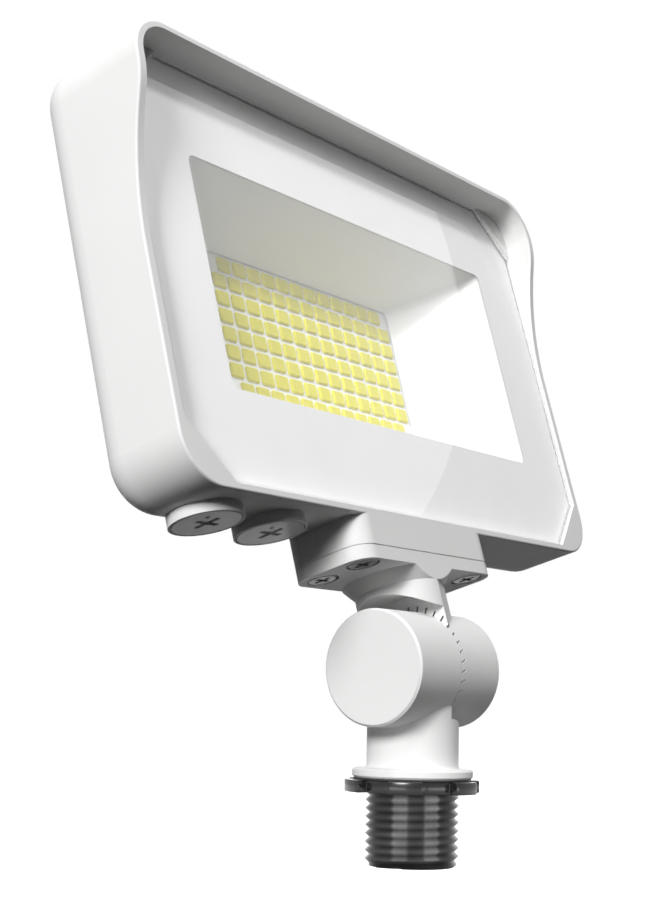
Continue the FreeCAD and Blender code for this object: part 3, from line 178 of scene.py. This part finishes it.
class FloodBorderSizes(PropertyGroup):
    """Sizes of the print in the back of the glass."""

    half: length("Half Width", "Half of the print's outer width", 0.07785)
    low: length("Bottom", "Lower edge over the pivot", 0.03315)
    high: length("Top", "Upper edge over the pivot", 0.1311)
    cut: length("Corner Cut", "Cut at the outer corners", 0.01216)
    window_half: length("Window Half Width", "Half of the opening's width", 0.0593)
    window_rise: length("Window Half Height", "Half of the opening's height", 0.02745)
    window_corner: length("Window Corner", "Rounding of the opening's corners", 0.002)
    centre: length("Centre", "Height of the opening's middle over the pivot", 0.0821)
    forward: length("Forward", "How far the print lies in front of the pivot", 0.00866)
    thickness: length("Thickness", "Thickness of the print", 0.00006)


class FloodColours(PropertyGroup):
    """Colours of the finishes."""

    white_coat: tint("White Coat", "Powder coat of the castings", (0.83, 0.83, 0.825))
    black_coat: tint("Black Coat", "Plated finish of the locknut", (0.010, 0.010, 0.011))
    # Metal of the thread; the thread's material scales it down towards the roots as painted shade
    worn_steel: tint("Worn Steel", "Rubbed crests of the thread", (0.050, 0.050, 0.051))
    steel: tint("Steel", "Zinc plated screws", (0.56, 0.56, 0.55))
    # Painted shade: the arm's screws are coated white, and this dark grey stands in for the shade under the
    # flange
    white_steel: tint("White Steel", "Painted screws of the arm", (0.22, 0.22, 0.215))
    green_steel: tint("Green Steel", "Painted earth screw", (0.05, 0.30, 0.09))
    black_rubber: tint("Black Rubber", "Seals of the nipple and dials", (0.018, 0.018, 0.018))
    white_rubber: tint("White Rubber", "Gaskets of the glass and arm", (0.70, 0.70, 0.69))
    clear_glass: tint("Glass", "Front pane", (0.985, 0.995, 0.99))
    white_plastic: tint("White Plastic", "Reflector and dials", (0.86, 0.86, 0.85))
    white_print: tint("White Print", "Border in the back of the glass", (0.80, 0.80, 0.80))
    heat_pad: tint("Heat Pad", "Pad under the light source", (0.30, 0.32, 0.36))
    white_board: tint("White Board", "Mask of the light source's board", (0.86, 0.86, 0.84))
    phosphor: tint("Phosphor", "Face of the emitters", (0.70, 0.645, 0.01))
    green_board: tint("Green Board", "Mask of the driver board", (0.02, 0.16, 0.05))
    coil_tape: tint("Coil Tape", "Wrap of the transformer", (0.62, 0.44, 0.06))
    black_plastic: tint("Black Plastic", "Cases on the driver board", (0.020, 0.020, 0.022))
    lead_cover: tint("Lead Cover", "Sleeve of the leads", (0.55, 0.03, 0.02))


class FloodStage(PropertyGroup):
    """Camera, lights and floor."""

    eye: FloatVectorProperty(
        name="Eye", description="Where the camera stands", default=(-0.3061, -0.204539, 0.018607),
        size=3, subtype="TRANSLATION", unit="LENGTH",
    )
    yaw: angle("Yaw", "Turn from straight ahead", 0.922827)
    pitch: angle("Pitch", "Rise of the view", 0.158276)
    roll: angle("Roll", "Lean of the view", 0.022323)
    lens: FloatProperty(name="Lens", description="Focal length", default=64.556, min=10.0, unit="CAMERA")
    floor: FloatProperty(name="Floor", description="Height of the floor", default=-0.05, unit="LENGTH")
    side_power: power("Side Power", "Power of the lamp at the left", 14.8)
    front_power: power("Front Power", "Power of the lamp high in front", 5.2)
    near_power: power("Near Power", "Power of each small lamp by the thread", 0.0014)
    round_power: power("Round Power", "Power of the lamp that the glass mirrors", 0.65)
    back_power: power("Back Power", "Power of the lamp behind at the right", 4.0)
    sky: share("Sky", "Strength of the light from all round", 0.045)
    indoors: share("Sky Indoors", "Strength of that light behind the glass", 0.36)


def clear_selection():
    """Leave edit mode and deselect everything."""
    if bpy.context.mode != "OBJECT":
        bpy.ops.object.mode_set(mode="OBJECT")
    bpy.ops.object.select_all(action="DESELECT")


def settle():
    """Put the active piece's place, turn and scale into its mesh."""
    bpy.ops.object.transform_apply(location=True, rotation=True, scale=True)


def begin(name, scale=(1.0, 1.0, 1.0)):
    """Name and size the primitive that was just added, put its place into its mesh and start to edit it."""
    piece = bpy.context.active_object
    piece.scale = scale
    settle()
    piece.name = name
    piece.data.name = name
    bpy.ops.object.mode_set(mode="EDIT")
    return piece


def choose(kind, test):
    """Select the edges or faces being edited that pass the test."""
    piece = bpy.context.edit_object
    bpy.ops.mesh.select_mode(type=kind)
    bpy.ops.mesh.select_all(action="DESELECT")
    mesh = bmesh.from_edit_mesh(piece.data)
    items = mesh.faces if kind == "FACE" else mesh.edges
    chosen = [item for item in items if test(item)]
    if not chosen:
        raise RuntimeError(f"nothing to select on {piece.name}")
    for item in chosen:
        item.select_set(True)
    mesh.select_flush_mode()
    bmesh.update_edit_mesh(piece.data)


def rim_at(level):
    """Test for open edges at a height."""
    return lambda edge: edge.is_boundary and all(abs(end.co.z - level) < TINY for end in edge.verts)


def apply_modifier(piece, name, kind, **values):
    """Add one modifier and apply it at once."""
    bpy.ops.object.mode_set(mode="OBJECT")
    modifier = piece.modifiers.new(name, kind)
    for key, number in values.items():
        setattr(modifier, key, number)
    bpy.ops.object.modifier_apply(modifier=modifier.name)


def lay_on_head(piece):
    """Turn a piece that was drawn upright over the pivot to where the head stands at rest."""
    bpy.ops.object.mode_set(mode="OBJECT")
    piece.rotation_euler.x = -LEAN
    piece.location = PIVOT
    settle()


def complete(piece, body, material, replaced=(), sharp=35.0):
    """Close and shade a piece, give it its material and let it ride on its body."""
    bpy.ops.object.mode_set(mode="EDIT")
    bpy.ops.mesh.select_all(action="SELECT")
    bpy.ops.mesh.remove_doubles(threshold=TINY)
    bpy.ops.mesh.normals_make_consistent(inside=False)
    bpy.ops.object.mode_set(mode="OBJECT")
    bpy.ops.object.shade_smooth_by_angle(angle=math.radians(sharp))
    piece.data.materials.clear()
    piece.data.materials.append(material)
    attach(piece, body)
    if replaced:
        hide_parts(*replaced)


def grained(name, colour, shade, cloud, grain, rough, relief, **sockets):
    """Material whose colour clouds a little and whose gloss and relief follow a fine grain."""
    made = bpy.data.materials.get(name)
    if made:
        return made
    made = bpy.data.materials.new(name)
    made.use_nodes = True
    made.diffuse_color = (*colour, 1.0)
    nodes = made.node_tree.nodes
    links = made.node_tree.links
    shader = nodes["Principled BSDF"]
    place = nodes.new("ShaderNodeTexCoord")
    broad = nodes.new("ShaderNodeTexNoise")
    broad.inputs["Scale"].default_value = cloud
    broad.inputs["Detail"].default_value = BROAD_DETAIL
    fine = nodes.new("ShaderNodeTexNoise")
    fine.inputs["Scale"].default_value = grain
    fine.inputs["Detail"].default_value = FINE_DETAIL
    ramp = nodes.new("ShaderNodeValToRGB")
    ramp.color_ramp.elements[0].position = CLOUD_START
    ramp.color_ramp.elements[0].color = (*(part * shade for part in colour), 1.0)
    ramp.color_ramp.elements[1].position = CLOUD_END
    ramp.color_ramp.elements[1].color = (*colour, 1.0)
    gloss = nodes.new("ShaderNodeMapRange")
    gloss.inputs["To Min"].default_value = rough[0]
    gloss.inputs["To Max"].default_value = rough[1]
    bump = nodes.new("ShaderNodeBump")
    bump.inputs["Strength"].default_value = RELIEF_STRENGTH
    bump.inputs["Distance"].default_value = relief
    links.new(place.outputs["Object"], broad.inputs["Vector"])
    links.new(place.outputs["Object"], fine.inputs["Vector"])
    links.new(broad.outputs["Fac"], ramp.inputs["Fac"])
    links.new(ramp.outputs["Color"], shader.inputs["Base Color"])
    links.new(fine.outputs["Fac"], gloss.inputs["Value"])
    links.new(gloss.outputs["Result"], shader.inputs["Roughness"])
    links.new(fine.outputs["Fac"], bump.inputs["Height"])
    links.new(bump.outputs["Normal"], shader.inputs["Normal"])
    for socket, number in sockets.items():
        shader.inputs[socket.replace("_", " ")].default_value = number
    return made


def worked_out(nodes, links, operation, first, second):
    """What a math node makes of two values, of which the second may be a plain number."""
    node = nodes.new("ShaderNodeMath")
    node.operation = operation
    links.new(first, node.inputs[0])
    if isinstance(second, float):
        node.inputs[1].default_value = second
    else:
        links.new(second, node.inputs[1])
    return node.outputs["Value"]


def mixed(nodes, links, weight, first, second, surface):
    """Show the first shader where the weight is 0 and the second where it is 1."""
    mix = nodes.new("ShaderNodeMixShader")
    links.new(weight, mix.inputs["Fac"])
    links.new(first, mix.inputs[1])
    links.new(second, mix.inputs[2])
    links.new(mix.outputs["Shader"], surface)


def grey(level):
    """A grey for a colour socket."""
    return (level, level, level, 1.0)


def pane(colour):
    """Clear glass that light crosses straight on its way to and from what lies behind it."""
    made = grained(
        "clear_pane", colour, shade=0.99, cloud=12.0, grain=60.0, rough=(0.0, 0.01), relief=0.0000002
    )
    nodes = made.node_tree.nodes
    links = made.node_tree.links
    shader = nodes["Principled BSDF"]
    shader.inputs["Transmission Weight"].default_value = 1.0
    shader.inputs["IOR"].default_value = GLASS_IOR
    shader.inputs["Specular IOR Level"].default_value = GLASS_SHINE
    rays = nodes.new("ShaderNodeLightPath").outputs
    bounced = worked_out(nodes, links, "MAXIMUM", rays["Is Shadow Ray"], rays["Diffuse Depth"])
    bounced.node.use_clamp = True
    through = nodes.new("ShaderNodeBsdfTransparent")
    surface = nodes["Material Output"].inputs["Surface"]
    mixed(nodes, links, bounced, shader.outputs["BSDF"], through.outputs["BSDF"], surface)
    return made


def worn_thread(root, crest):
    """Dark metal of the thread, with painted shade that darkens it from its crests towards its roots."""
    colour = tuple(bpy.context.scene.flood_colours.worn_steel)
    made = grained(
        "worn_thread",
        colour,
        shade=0.7,
        cloud=160.0,
        grain=2500.0,
        rough=(0.16, 0.22),
        relief=0.000001,
        Metallic=1.0,
    )
    nodes = made.node_tree.nodes
    links = made.node_tree.links
    level = nodes.new("ShaderNodeVectorMath")
    level.operation = "MULTIPLY"
    level.inputs[1].default_value = (1.0, 1.0, 0.0)
    reach = nodes.new("ShaderNodeVectorMath")
    reach.operation = "LENGTH"
    # Painted shade: the colour is scaled from its full value at the crests down to its least in the roots
    root_shading = nodes.new("ShaderNodeMapRange")
    root_shading.inputs["From Min"].default_value = root
    root_shading.inputs["From Max"].default_value = crest
    root_shading.inputs["To Min"].default_value = ROOT_PAINTED_SHADE
    shaded_colour = nodes.new("ShaderNodeVectorMath")
    shaded_colour.operation = "SCALE"
    links.new(nodes["Texture Coordinate"].outputs["Object"], level.inputs[0])
    links.new(level.outputs["Vector"], reach.inputs[0])
    links.new(reach.outputs["Value"], root_shading.inputs["Value"])
    links.new(nodes["Color Ramp"].outputs["Color"], shaded_colour.inputs["Vector"])
    links.new(root_shading.outputs["Result"], shaded_colour.inputs["Scale"])
    links.new(shaded_colour.outputs["Vector"], nodes["Principled BSDF"].inputs["Base Color"])
    return made


FINISHES = {
    "white_coat": dict(
        shade=0.97, cloud=40.0, grain=1800.0, rough=(0.5, 0.6), relief=0.000012, Specular_IOR_Level=0.06
    ),
    "black_coat": dict(
        shade=0.7, cloud=160.0, grain=2500.0, rough=(0.18, 0.24), relief=0.000001, Specular_IOR_Level=0.4
    ),
    "steel": dict(shade=0.85, cloud=300.0, grain=4000.0, rough=(0.25, 0.38), relief=0.000003, Metallic=1.0),
    "white_steel": dict(shade=0.9, cloud=200.0, grain=3000.0, rough=(0.35, 0.5), relief=0.000005),
    "green_steel": dict(shade=0.8, cloud=200.0, grain=3000.0, rough=(0.35, 0.5), relief=0.000005),
    "black_rubber": dict(shade=0.7, cloud=120.0, grain=3000.0, rough=(0.65, 0.8), relief=0.00001),
    "white_rubber": dict(shade=0.94, cloud=120.0, grain=3000.0, rough=(0.6, 0.75), relief=0.00001),
    "white_plastic": dict(
        shade=0.97, cloud=60.0, grain=900.0, rough=(0.28, 0.36), relief=0.000003, Specular_IOR_Level=0.06
    ),
    "white_print": dict(shade=0.98, cloud=90.0, grain=1200.0, rough=(0.35, 0.45), relief=0.000002),
    "heat_pad": dict(shade=0.9, cloud=150.0, grain=2600.0, rough=(0.7, 0.85), relief=0.00001),
    "white_board": dict(shade=0.96, cloud=200.0, grain=1600.0, rough=(0.3, 0.4), relief=0.000004),
    "phosphor": dict(
        shade=0.93, cloud=420.0, grain=5000.0, rough=(0.3, 0.42), relief=0.000006, Specular_IOR_Level=0.1
    ),
    "green_board": dict(shade=0.75, cloud=220.0, grain=2000.0, rough=(0.3, 0.45), relief=0.000006),
    "coil_tape": dict(shade=0.85, cloud=180.0, grain=1800.0, rough=(0.3, 0.45), relief=0.00001),
    "black_plastic": dict(shade=0.75, cloud=200.0, grain=2400.0, rough=(0.35, 0.5), relief=0.000008),
    "lead_cover": dict(shade=0.85, cloud=260.0, grain=2400.0, rough=(0.4, 0.5), relief=0.000005),
}


def finish_for(slot):
    """The material of one finish."""
    colour = tuple(getattr(bpy.context.scene.flood_colours, slot))
    if slot == "clear_glass":
        return pane(colour)
    return grained(f"{slot}_finish", colour, **FINISHES[slot])


class FLOOD_OT_finishes(Operator):
    """Give every solid part the finish of its material slot"""

    bl_idname = "flood.finishes"
    bl_label = "Finishes"

    def execute(self, context):
        for part in frame["record"]["subparts"]:
            solid = frame["nodes"][part["node"]]
            solid.data.materials.clear()
            solid.data.materials.append(finish_for(part["material_slot"]))
        return {"FINISHED"}


class FLOOD_OT_thread(Operator):
    """Model the nipple with its helical thread, bore and spigot"""

    bl_idname = "flood.thread"
    bl_label = "Conduit Thread"

    def wind(self, size, root, low, top):
        """Wind the V of the thread round the axis, past both of its ends."""
        clear_selection()
        bpy.ops.mesh.primitive_circle_add(vertices=3, radius=size.radius, fill_type="NOTHING")
        piece = begin("conduit_thread")
        mesh = bmesh.from_edit_mesh(piece.data)
        rise = (0.0, size.pitch / 2, size.pitch)
        out = (root, size.radius, root)
        for corner, reach, climb in zip(mesh.verts, out, rise):
            corner.co = (reach, 0.0, low - size.pitch + climb)
        choose("EDGE", lambda edge: abs(edge.verts[0].co.z - edge.verts[1].co.z) > size.pitch - TINY)
        bpy.ops.mesh.delete(type="EDGE")
        apply_modifier(
            piece,
            "Helix",
            "SCREW",
            axis="Z",
            angle=math.tau,
            screw_offset=size.pitch,
            iterations=math.ceil((top - low) / size.pitch) + 2,
            steps=size.steps,
            render_steps=size.steps,
        )
        return piece

    def trim(self, piece, root, low, top):
        """Cut the thread off at both ends and chamfer the lower one."""
        bpy.ops.object.mode_set(mode="EDIT")
        for level, way in ((top, 1.0), (low, -1.0)):
            bpy.ops.mesh.select_all(action="SELECT")
            bpy.ops.mesh.remove_doubles(threshold=TINY)
            bpy.ops.mesh.bisect(plane_co=(0, 0, level), plane_no=(0, 0, way), clear_outer=True)
        mesh = bmesh.from_edit_mesh(piece.data)
        for corner in mesh.verts:
            widest = root + max(corner.co.z - low, 0.0)
            reach = corner.co.xy.length
            if reach > widest:
                corner.co.xy *= widest / reach

    def hollow(self, piece, size, low, top, tip):
        """Add the spigot and the bore, and keep their edges sharp."""
        choose("EDGE", rim_at(top))
        bpy.ops.mesh.extrude_region_move()
        mesh = bmesh.from_edit_mesh(piece.data)
        for corner in mesh.verts:
            if corner.select:
                corner.co.xy *= size.spigot / corner.co.xy.length
        bpy.ops.mesh.extrude_region_move(TRANSFORM_OT_translate={"value": (0, 0, tip - top)})
        bpy.ops.mesh.primitive_cylinder_add(
            vertices=size.steps,
            radius=size.bore,
            depth=tip - low,
            end_fill_type="NOTHING",
            location=(0, 0, (tip + low) / 2),
        )
        for level in (tip, low):
            choose("EDGE", rim_at(level))
            bpy.ops.mesh.bridge_edge_loops()
        for level in (tip, top, low):
            choose("EDGE", lambda edge: all(abs(end.co.z - level) < TINY for end in edge.verts))
            bpy.ops.mesh.mark_sharp()

    def execute(self, context):
        size = context.scene.flood_thread
        low, tip = (corner.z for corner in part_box("threaded_nipple"))
        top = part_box("knuckle_base")[0].z
        root = size.radius - size.depth
        piece = self.wind(size, root, low, top)
        self.trim(piece, root, low, top)
        self.hollow(piece, size, low, top, tip)
        material = worn_thread(root, size.radius)
        complete(piece, "base", material, ["threaded_nipple"], sharp=130.0)
        return {"FINISHED"}


class FLOOD_OT_locknut(Operator):
    """Model the lugged locknut"""

    bl_idname = "flood.locknut"
    bl_label = "Locknut"

    def execute(self, context):
        size = context.scene.flood_locknut
        low, high = (corner.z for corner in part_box("locknut"))
        step = math.tau / size.lugs
        middle = (low + high) / 2
        clear_selection()
        bpy.ops.mesh.primitive_cylinder_add(
            vertices=size.lugs * LUG_FACES,
            radius=size.root,
            depth=high - low,
            end_fill_type="NOTHING",
            location=(0, 0, middle),
            rotation=(0, 0, size.start),
        )
        piece = begin("lug_nut")

        def on_lug(face):
            spot = face.calc_center_median()
            return (math.atan2(spot.y, spot.x) - size.start) % step < step / 2

        choose("FACE", on_lug)
        bpy.ops.mesh.extrude_region_move()
        grown = size.lug / size.root
        bpy.ops.transform.resize(value=(grown, grown, 1), center_override=(0, 0, middle))
        for level in (low, high):
            choose("EDGE", rim_at(level))
            bpy.ops.mesh.extrude_region_move()
            shrunk = size.hole / size.root
            bpy.ops.transform.resize(value=(shrunk, shrunk, 1), center_override=(0, 0, level))
        choose("EDGE", lambda edge: edge.is_boundary)
        bpy.ops.mesh.bridge_edge_loops()
        bpy.ops.mesh.select_all(action="SELECT")
        bpy.ops.mesh.normals_make_consistent(inside=False)
        apply_modifier(
            piece,
            "Broken edges",
            "BEVEL",
            width=size.bevel,
            segments=2,
            limit_method="ANGLE",
            angle_limit=math.radians(40),
        )
        complete(piece, "locknut", finish_for("black_coat"), ["locknut"], sharp=28.0)
        return {"FINISHED"}


class FLOOD_OT_emitters(Operator):
    """Model the field of emitters on the light source's board"""

    bl_idname = "flood.emitters"
    bl_label = "Emitters"

    def row_of(self, size, back, front, columns, first_row):
        """One emitter at the left end of a row, drawn upright over the pivot."""
        clear_selection()
        spot = (
            -size.across * (columns - 1) / 2,
            (back + front) / 2,
            size.centre + size.up * (first_row - (size.rows - 1) / 2),
        )
        bpy.ops.mesh.primitive_cube_add(size=1, location=spot)
        piece = begin("emitters", (size.width, back - front, size.height))
        choose("EDGE", lambda edge: abs(edge.verts[0].co.y - edge.verts[1].co.y) > TINY)
        bpy.ops.mesh.bevel(offset=size.corner, segments=1, affect="EDGES")
        choose("EDGE", lambda edge: all(abs(end.co.y - front) < TINY for end in edge.verts))
        bpy.ops.mesh.bevel(offset=size.edge, segments=1, affect="EDGES")
        return piece

    def repeat(self, piece, name, times, step):
        """Copy a piece along a line."""
        apply_modifier(
            piece,
            name,
            "ARRAY",
            count=times,
            use_relative_offset=False,
            use_constant_offset=True,
            constant_offset_displace=step,
        )

    def execute(self, context):
        size = context.scene.flood_emitters
        turned = [
            Matrix.Rotation(LEAN, 3, "X") @ (corner.co - PIVOT)
            for corner in frame["nodes"]["led_chips"].data.vertices
        ]
        back = max(corner.y for corner in turned)
        front = back - size.thickness
        full = self.row_of(size, back, front, size.columns, 1)
        self.repeat(full, "Columns", size.columns, (size.across, 0, 0))
        self.repeat(full, "Rows", size.rows - 2, (0, 0, size.up))
        short = self.row_of(size, back, front, size.columns - 1, 0)
        self.repeat(short, "Columns", size.columns - 1, (size.across, 0, 0))
        self.repeat(short, "Rows", 2, (0, 0, size.up * (size.rows - 1)))
        clear_selection()
        short.select_set(True)
        full.select_set(True)
        bpy.context.view_layer.objects.active = full
        bpy.ops.object.join()
        lay_on_head(full)
        complete(full, "head", finish_for("phosphor"), ["led_chips"], sharp=20.0)
        return {"FINISHED"}


class FLOOD_OT_border(Operator):
    """Model the print that frames the opening in the back of the glass"""

    bl_idname = "flood.border"
    bl_label = "Glass Border"

    def execute(self, context):
        size = context.scene.flood_border
        upright = (math.pi / 2, 0, 0)
        clear_selection()
        middle = (0, -size.forward, (size.low + size.high) / 2)
        bpy.ops.mesh.primitive_plane_add(size=1, location=middle, rotation=upright)
        piece = begin("glass_border", (size.half * 2, size.high - size.low, 1))
        bpy.ops.mesh.select_mode(type="VERT")
        bpy.ops.mesh.select_all(action="SELECT")
        bpy.ops.mesh.bevel(offset=size.cut, segments=1, affect="VERTICES")
        window = (0, -size.forward, size.centre)
        bpy.ops.mesh.primitive_plane_add(size=1, location=window, rotation=upright)
        bpy.ops.transform.resize(
            value=(size.window_half * 2, 1, size.window_rise * 2), center_override=window
        )
        bpy.ops.mesh.bevel(offset=size.window_corner, segments=6, affect="VERTICES")
        bpy.ops.mesh.select_all(action="SELECT")
        bpy.ops.mesh.delete(type="ONLY_FACE")
        bpy.ops.mesh.select_mode(type="EDGE")
        bpy.ops.mesh.select_all(action="SELECT")
        bpy.ops.mesh.fill(use_beauty=True)
        apply_modifier(piece, "Film", "SOLIDIFY", thickness=size.thickness, offset=0.0)
        lay_on_head(piece)
        complete(piece, "head", finish_for("white_print"))
        return {"FINISHED"}


def seen_only(nodes, links):
    """A value that is 1 for what the camera, a mirror or a pane sees, and 0 for light on a surface."""
    rays = nodes.new("ShaderNodeLightPath").outputs
    mirrored = worked_out(nodes, links, "MAXIMUM", rays["Is Glossy Ray"], rays["Is Transmission Ray"])
    either = worked_out(nodes, links, "MAXIMUM", rays["Is Camera Ray"], mirrored)
    straight = worked_out(nodes, links, "LESS_THAN", rays["Diffuse Depth"], 0.5)
    return worked_out(nodes, links, "MULTIPLY", either, straight)


class FLOOD_OT_stage(Operator):
    """Set up the floor, the lamps, the sky and the camera"""

    bl_idname = "flood.stage"
    bl_label = "Stage"

    def lamp(self, name, place, target, size, watts, shape="RECTANGLE", spread=math.pi):
        """Soft lamp that faces a point."""
        bpy.ops.object.light_add(type="AREA", location=place)
        lamp = bpy.context.active_object
        lamp.name = name
        lamp.data.name = name
        lamp.data.shape = shape
        lamp.data.size, lamp.data.size_y = size
        lamp.data.energy = watts
        lamp.data.spread = spread
        lamp.rotation_euler = (Vector(target) - Vector(place)).to_track_quat("-Z", "Y").to_euler()

    def pale_floor(self, stage):
        """Wide floor, white to the eye and dim in the light that it throws back, with a painted shadow under
        the object.
        """
        bpy.ops.mesh.primitive_plane_add(size=FLOOR_SIZE, location=(0, 0, stage.floor))
        floor = bpy.context.active_object
        floor.name = "studio_floor"
        settle()
        made = bpy.data.materials.new("pale_floor")
        made.use_nodes = True
        nodes = made.node_tree.nodes
        links = made.node_tree.links
        nodes.remove(nodes["Principled BSDF"])
        dim = nodes.new("ShaderNodeBsdfDiffuse")
        dim.inputs["Color"].default_value = grey(FLOOR_THROWN)
        matte = nodes.new("ShaderNodeBsdfDiffuse")
        matte.inputs["Color"].default_value = grey(FLOOR_SEEN)
        glow = nodes.new("ShaderNodeEmission")
        place = nodes.new("ShaderNodeTexCoord")
        away = nodes.new("ShaderNodeVectorMath")
        away.operation = "LENGTH"
        # Painted shadow: the glow fades from full away from the object to its least under it, and the
        # undersides mirror it
        painted_shadow = nodes.new("ShaderNodeMapRange")
        painted_shadow.inputs["From Min"].default_value = PAINTED_SHADOW_INNER
        painted_shadow.inputs["From Max"].default_value = PAINTED_SHADOW_OUTER
        painted_shadow.inputs["To Min"].default_value = PAINTED_SHADOW_GLOW
        links.new(place.outputs["Object"], away.inputs[0])
        links.new(away.outputs["Value"], painted_shadow.inputs["Value"])
        links.new(painted_shadow.outputs["Result"], glow.inputs["Strength"])
        both = nodes.new("ShaderNodeAddShader")
        links.new(matte.outputs["BSDF"], both.inputs[0])
        links.new(glow.outputs["Emission"], both.inputs[1])
        seen = seen_only(nodes, links)
        surface = nodes["Material Output"].inputs["Surface"]
        mixed(nodes, links, seen, dim.outputs["BSDF"], both.outputs["Shader"], surface)
        floor.data.materials.append(made)

    def sky(self, context, stage):
        """White sky to the eye, dim as a light."""
        world = bpy.data.worlds.new("studio_sky")
        context.scene.world = world
        world.use_nodes = True
        nodes = world.node_tree.nodes
        links = world.node_tree.links
        dim = nodes["Background"]
        dim.inputs["Color"].default_value = grey(1.0)
        rays = nodes.new("ShaderNodeLightPath")
        level = nodes.new("ShaderNodeMapRange")
        level.inputs["To Min"].default_value = stage.sky
        level.inputs["To Max"].default_value = stage.indoors
        links.new(rays.outputs["Transparent Depth"], level.inputs["Value"])
        links.new(level.outputs["Result"], dim.inputs["Strength"])
        white = nodes.new("ShaderNodeBackground")
        white.inputs["Color"].default_value = grey(1.0)
        seen = seen_only(nodes, links)
        surface = nodes["World Output"].inputs["Surface"]
        mixed(nodes, links, seen, dim.outputs["Background"], white.outputs["Background"], surface)

    def camera(self, context, stage):
        """Camera at the photograph's place and lens."""
        bpy.ops.object.camera_add()
        camera = context.active_object
        camera.name = "view_camera"
        ahead = Vector(
            (
                math.cos(stage.pitch) * math.sin(stage.yaw),
                math.cos(stage.pitch) * math.cos(stage.yaw),
                math.sin(stage.pitch),
            )
        )
        right = Vector((math.cos(stage.yaw), -math.sin(stage.yaw), 0.0))
        up = right.cross(ahead)
        across = right * math.cos(stage.roll) + up * math.sin(stage.roll)
        rise = up * math.cos(stage.roll) - right * math.sin(stage.roll)
        turn = Matrix((across, rise, -ahead)).transposed()
        camera.matrix_world = Matrix.Translation(stage.eye) @ turn.to_4x4()
        camera.data.sensor_fit = "VERTICAL"
        camera.data.sensor_height = 36.0
        camera.data.lens = stage.lens
        camera.data.clip_start = 0.01
        context.scene.camera = camera

    def execute(self, context):
        stage = context.scene.flood_stage
        clear_selection()
        context.scene.view_settings.view_transform = "Standard"
        self.pale_floor(stage)
        self.sky(context, stage)
        self.lamp("side_lamp", SIDE_PLACE, LIGHT_MIDDLE, SIDE_SIZE, stage.side_power)
        self.lamp("front_lamp", FRONT_PLACE, LIGHT_MIDDLE, FRONT_SIZE, stage.front_power)
        for turn in NEAR_TURNS:
            way = math.radians(turn)
            place = (NEAR_REACH * math.cos(way), NEAR_REACH * math.sin(way), NEAR_TARGET[2])
            self.lamp("near_lamp", place, NEAR_TARGET, NEAR_SIZE, stage.near_power, spread=NEAR_SPREAD)
        self.lamp("round_lamp", ROUND_PLACE, ROUND_TARGET, ROUND_SIZE, stage.round_power, "ELLIPSE")
        self.lamp("back_lamp", BACK_PLACE, LIGHT_MIDDLE, BACK_SIZE, stage.back_power)
        self.camera(context, stage)
        return {"FINISHED"}


class FLOOD_PT_dress(Panel):
    """Steps that dress the flood light"""

    bl_idname = "FLOOD_PT_dress"
    bl_label = "Flood Light"
    bl_space_type = "VIEW_3D"
    bl_region_type = "UI"
    bl_category = "Flood Light"

    def draw(self, context):
        column = self.layout.column()
        for step in STEPS:
            column.operator(step.bl_idname)


STEPS = (
    FLOOD_OT_finishes,
    FLOOD_OT_thread,
    FLOOD_OT_locknut,
    FLOOD_OT_emitters,
    FLOOD_OT_border,
    FLOOD_OT_stage,
)
SETTINGS = {
    "flood_thread": FloodThreadSizes,
    "flood_locknut": FloodLocknutSizes,
    "flood_emitters": FloodEmitterSizes,
    "flood_border": FloodBorderSizes,
    "flood_colours": FloodColours,
    "flood_stage": FloodStage,
}


def register():
    for made in (*SETTINGS.values(), *STEPS, FLOOD_PT_dress):
        bpy.utils.register_class(made)
    for name, made in SETTINGS.items():
        setattr(bpy.types.Scene, name, PointerProperty(type=made))


def unregister():
    for name in SETTINGS:
        delattr(bpy.types.Scene, name)
    for made in reversed((*SETTINGS.values(), *STEPS, FLOOD_PT_dress)):
        bpy.utils.unregister_class(made)


def main():
    register()
    bpy.ops.flood.finishes()
    bpy.ops.flood.thread()
    bpy.ops.flood.locknut()
    bpy.ops.flood.emitters()
    bpy.ops.flood.border()
    bpy.ops.flood.stage()


if __name__ == "__main__":
    main()
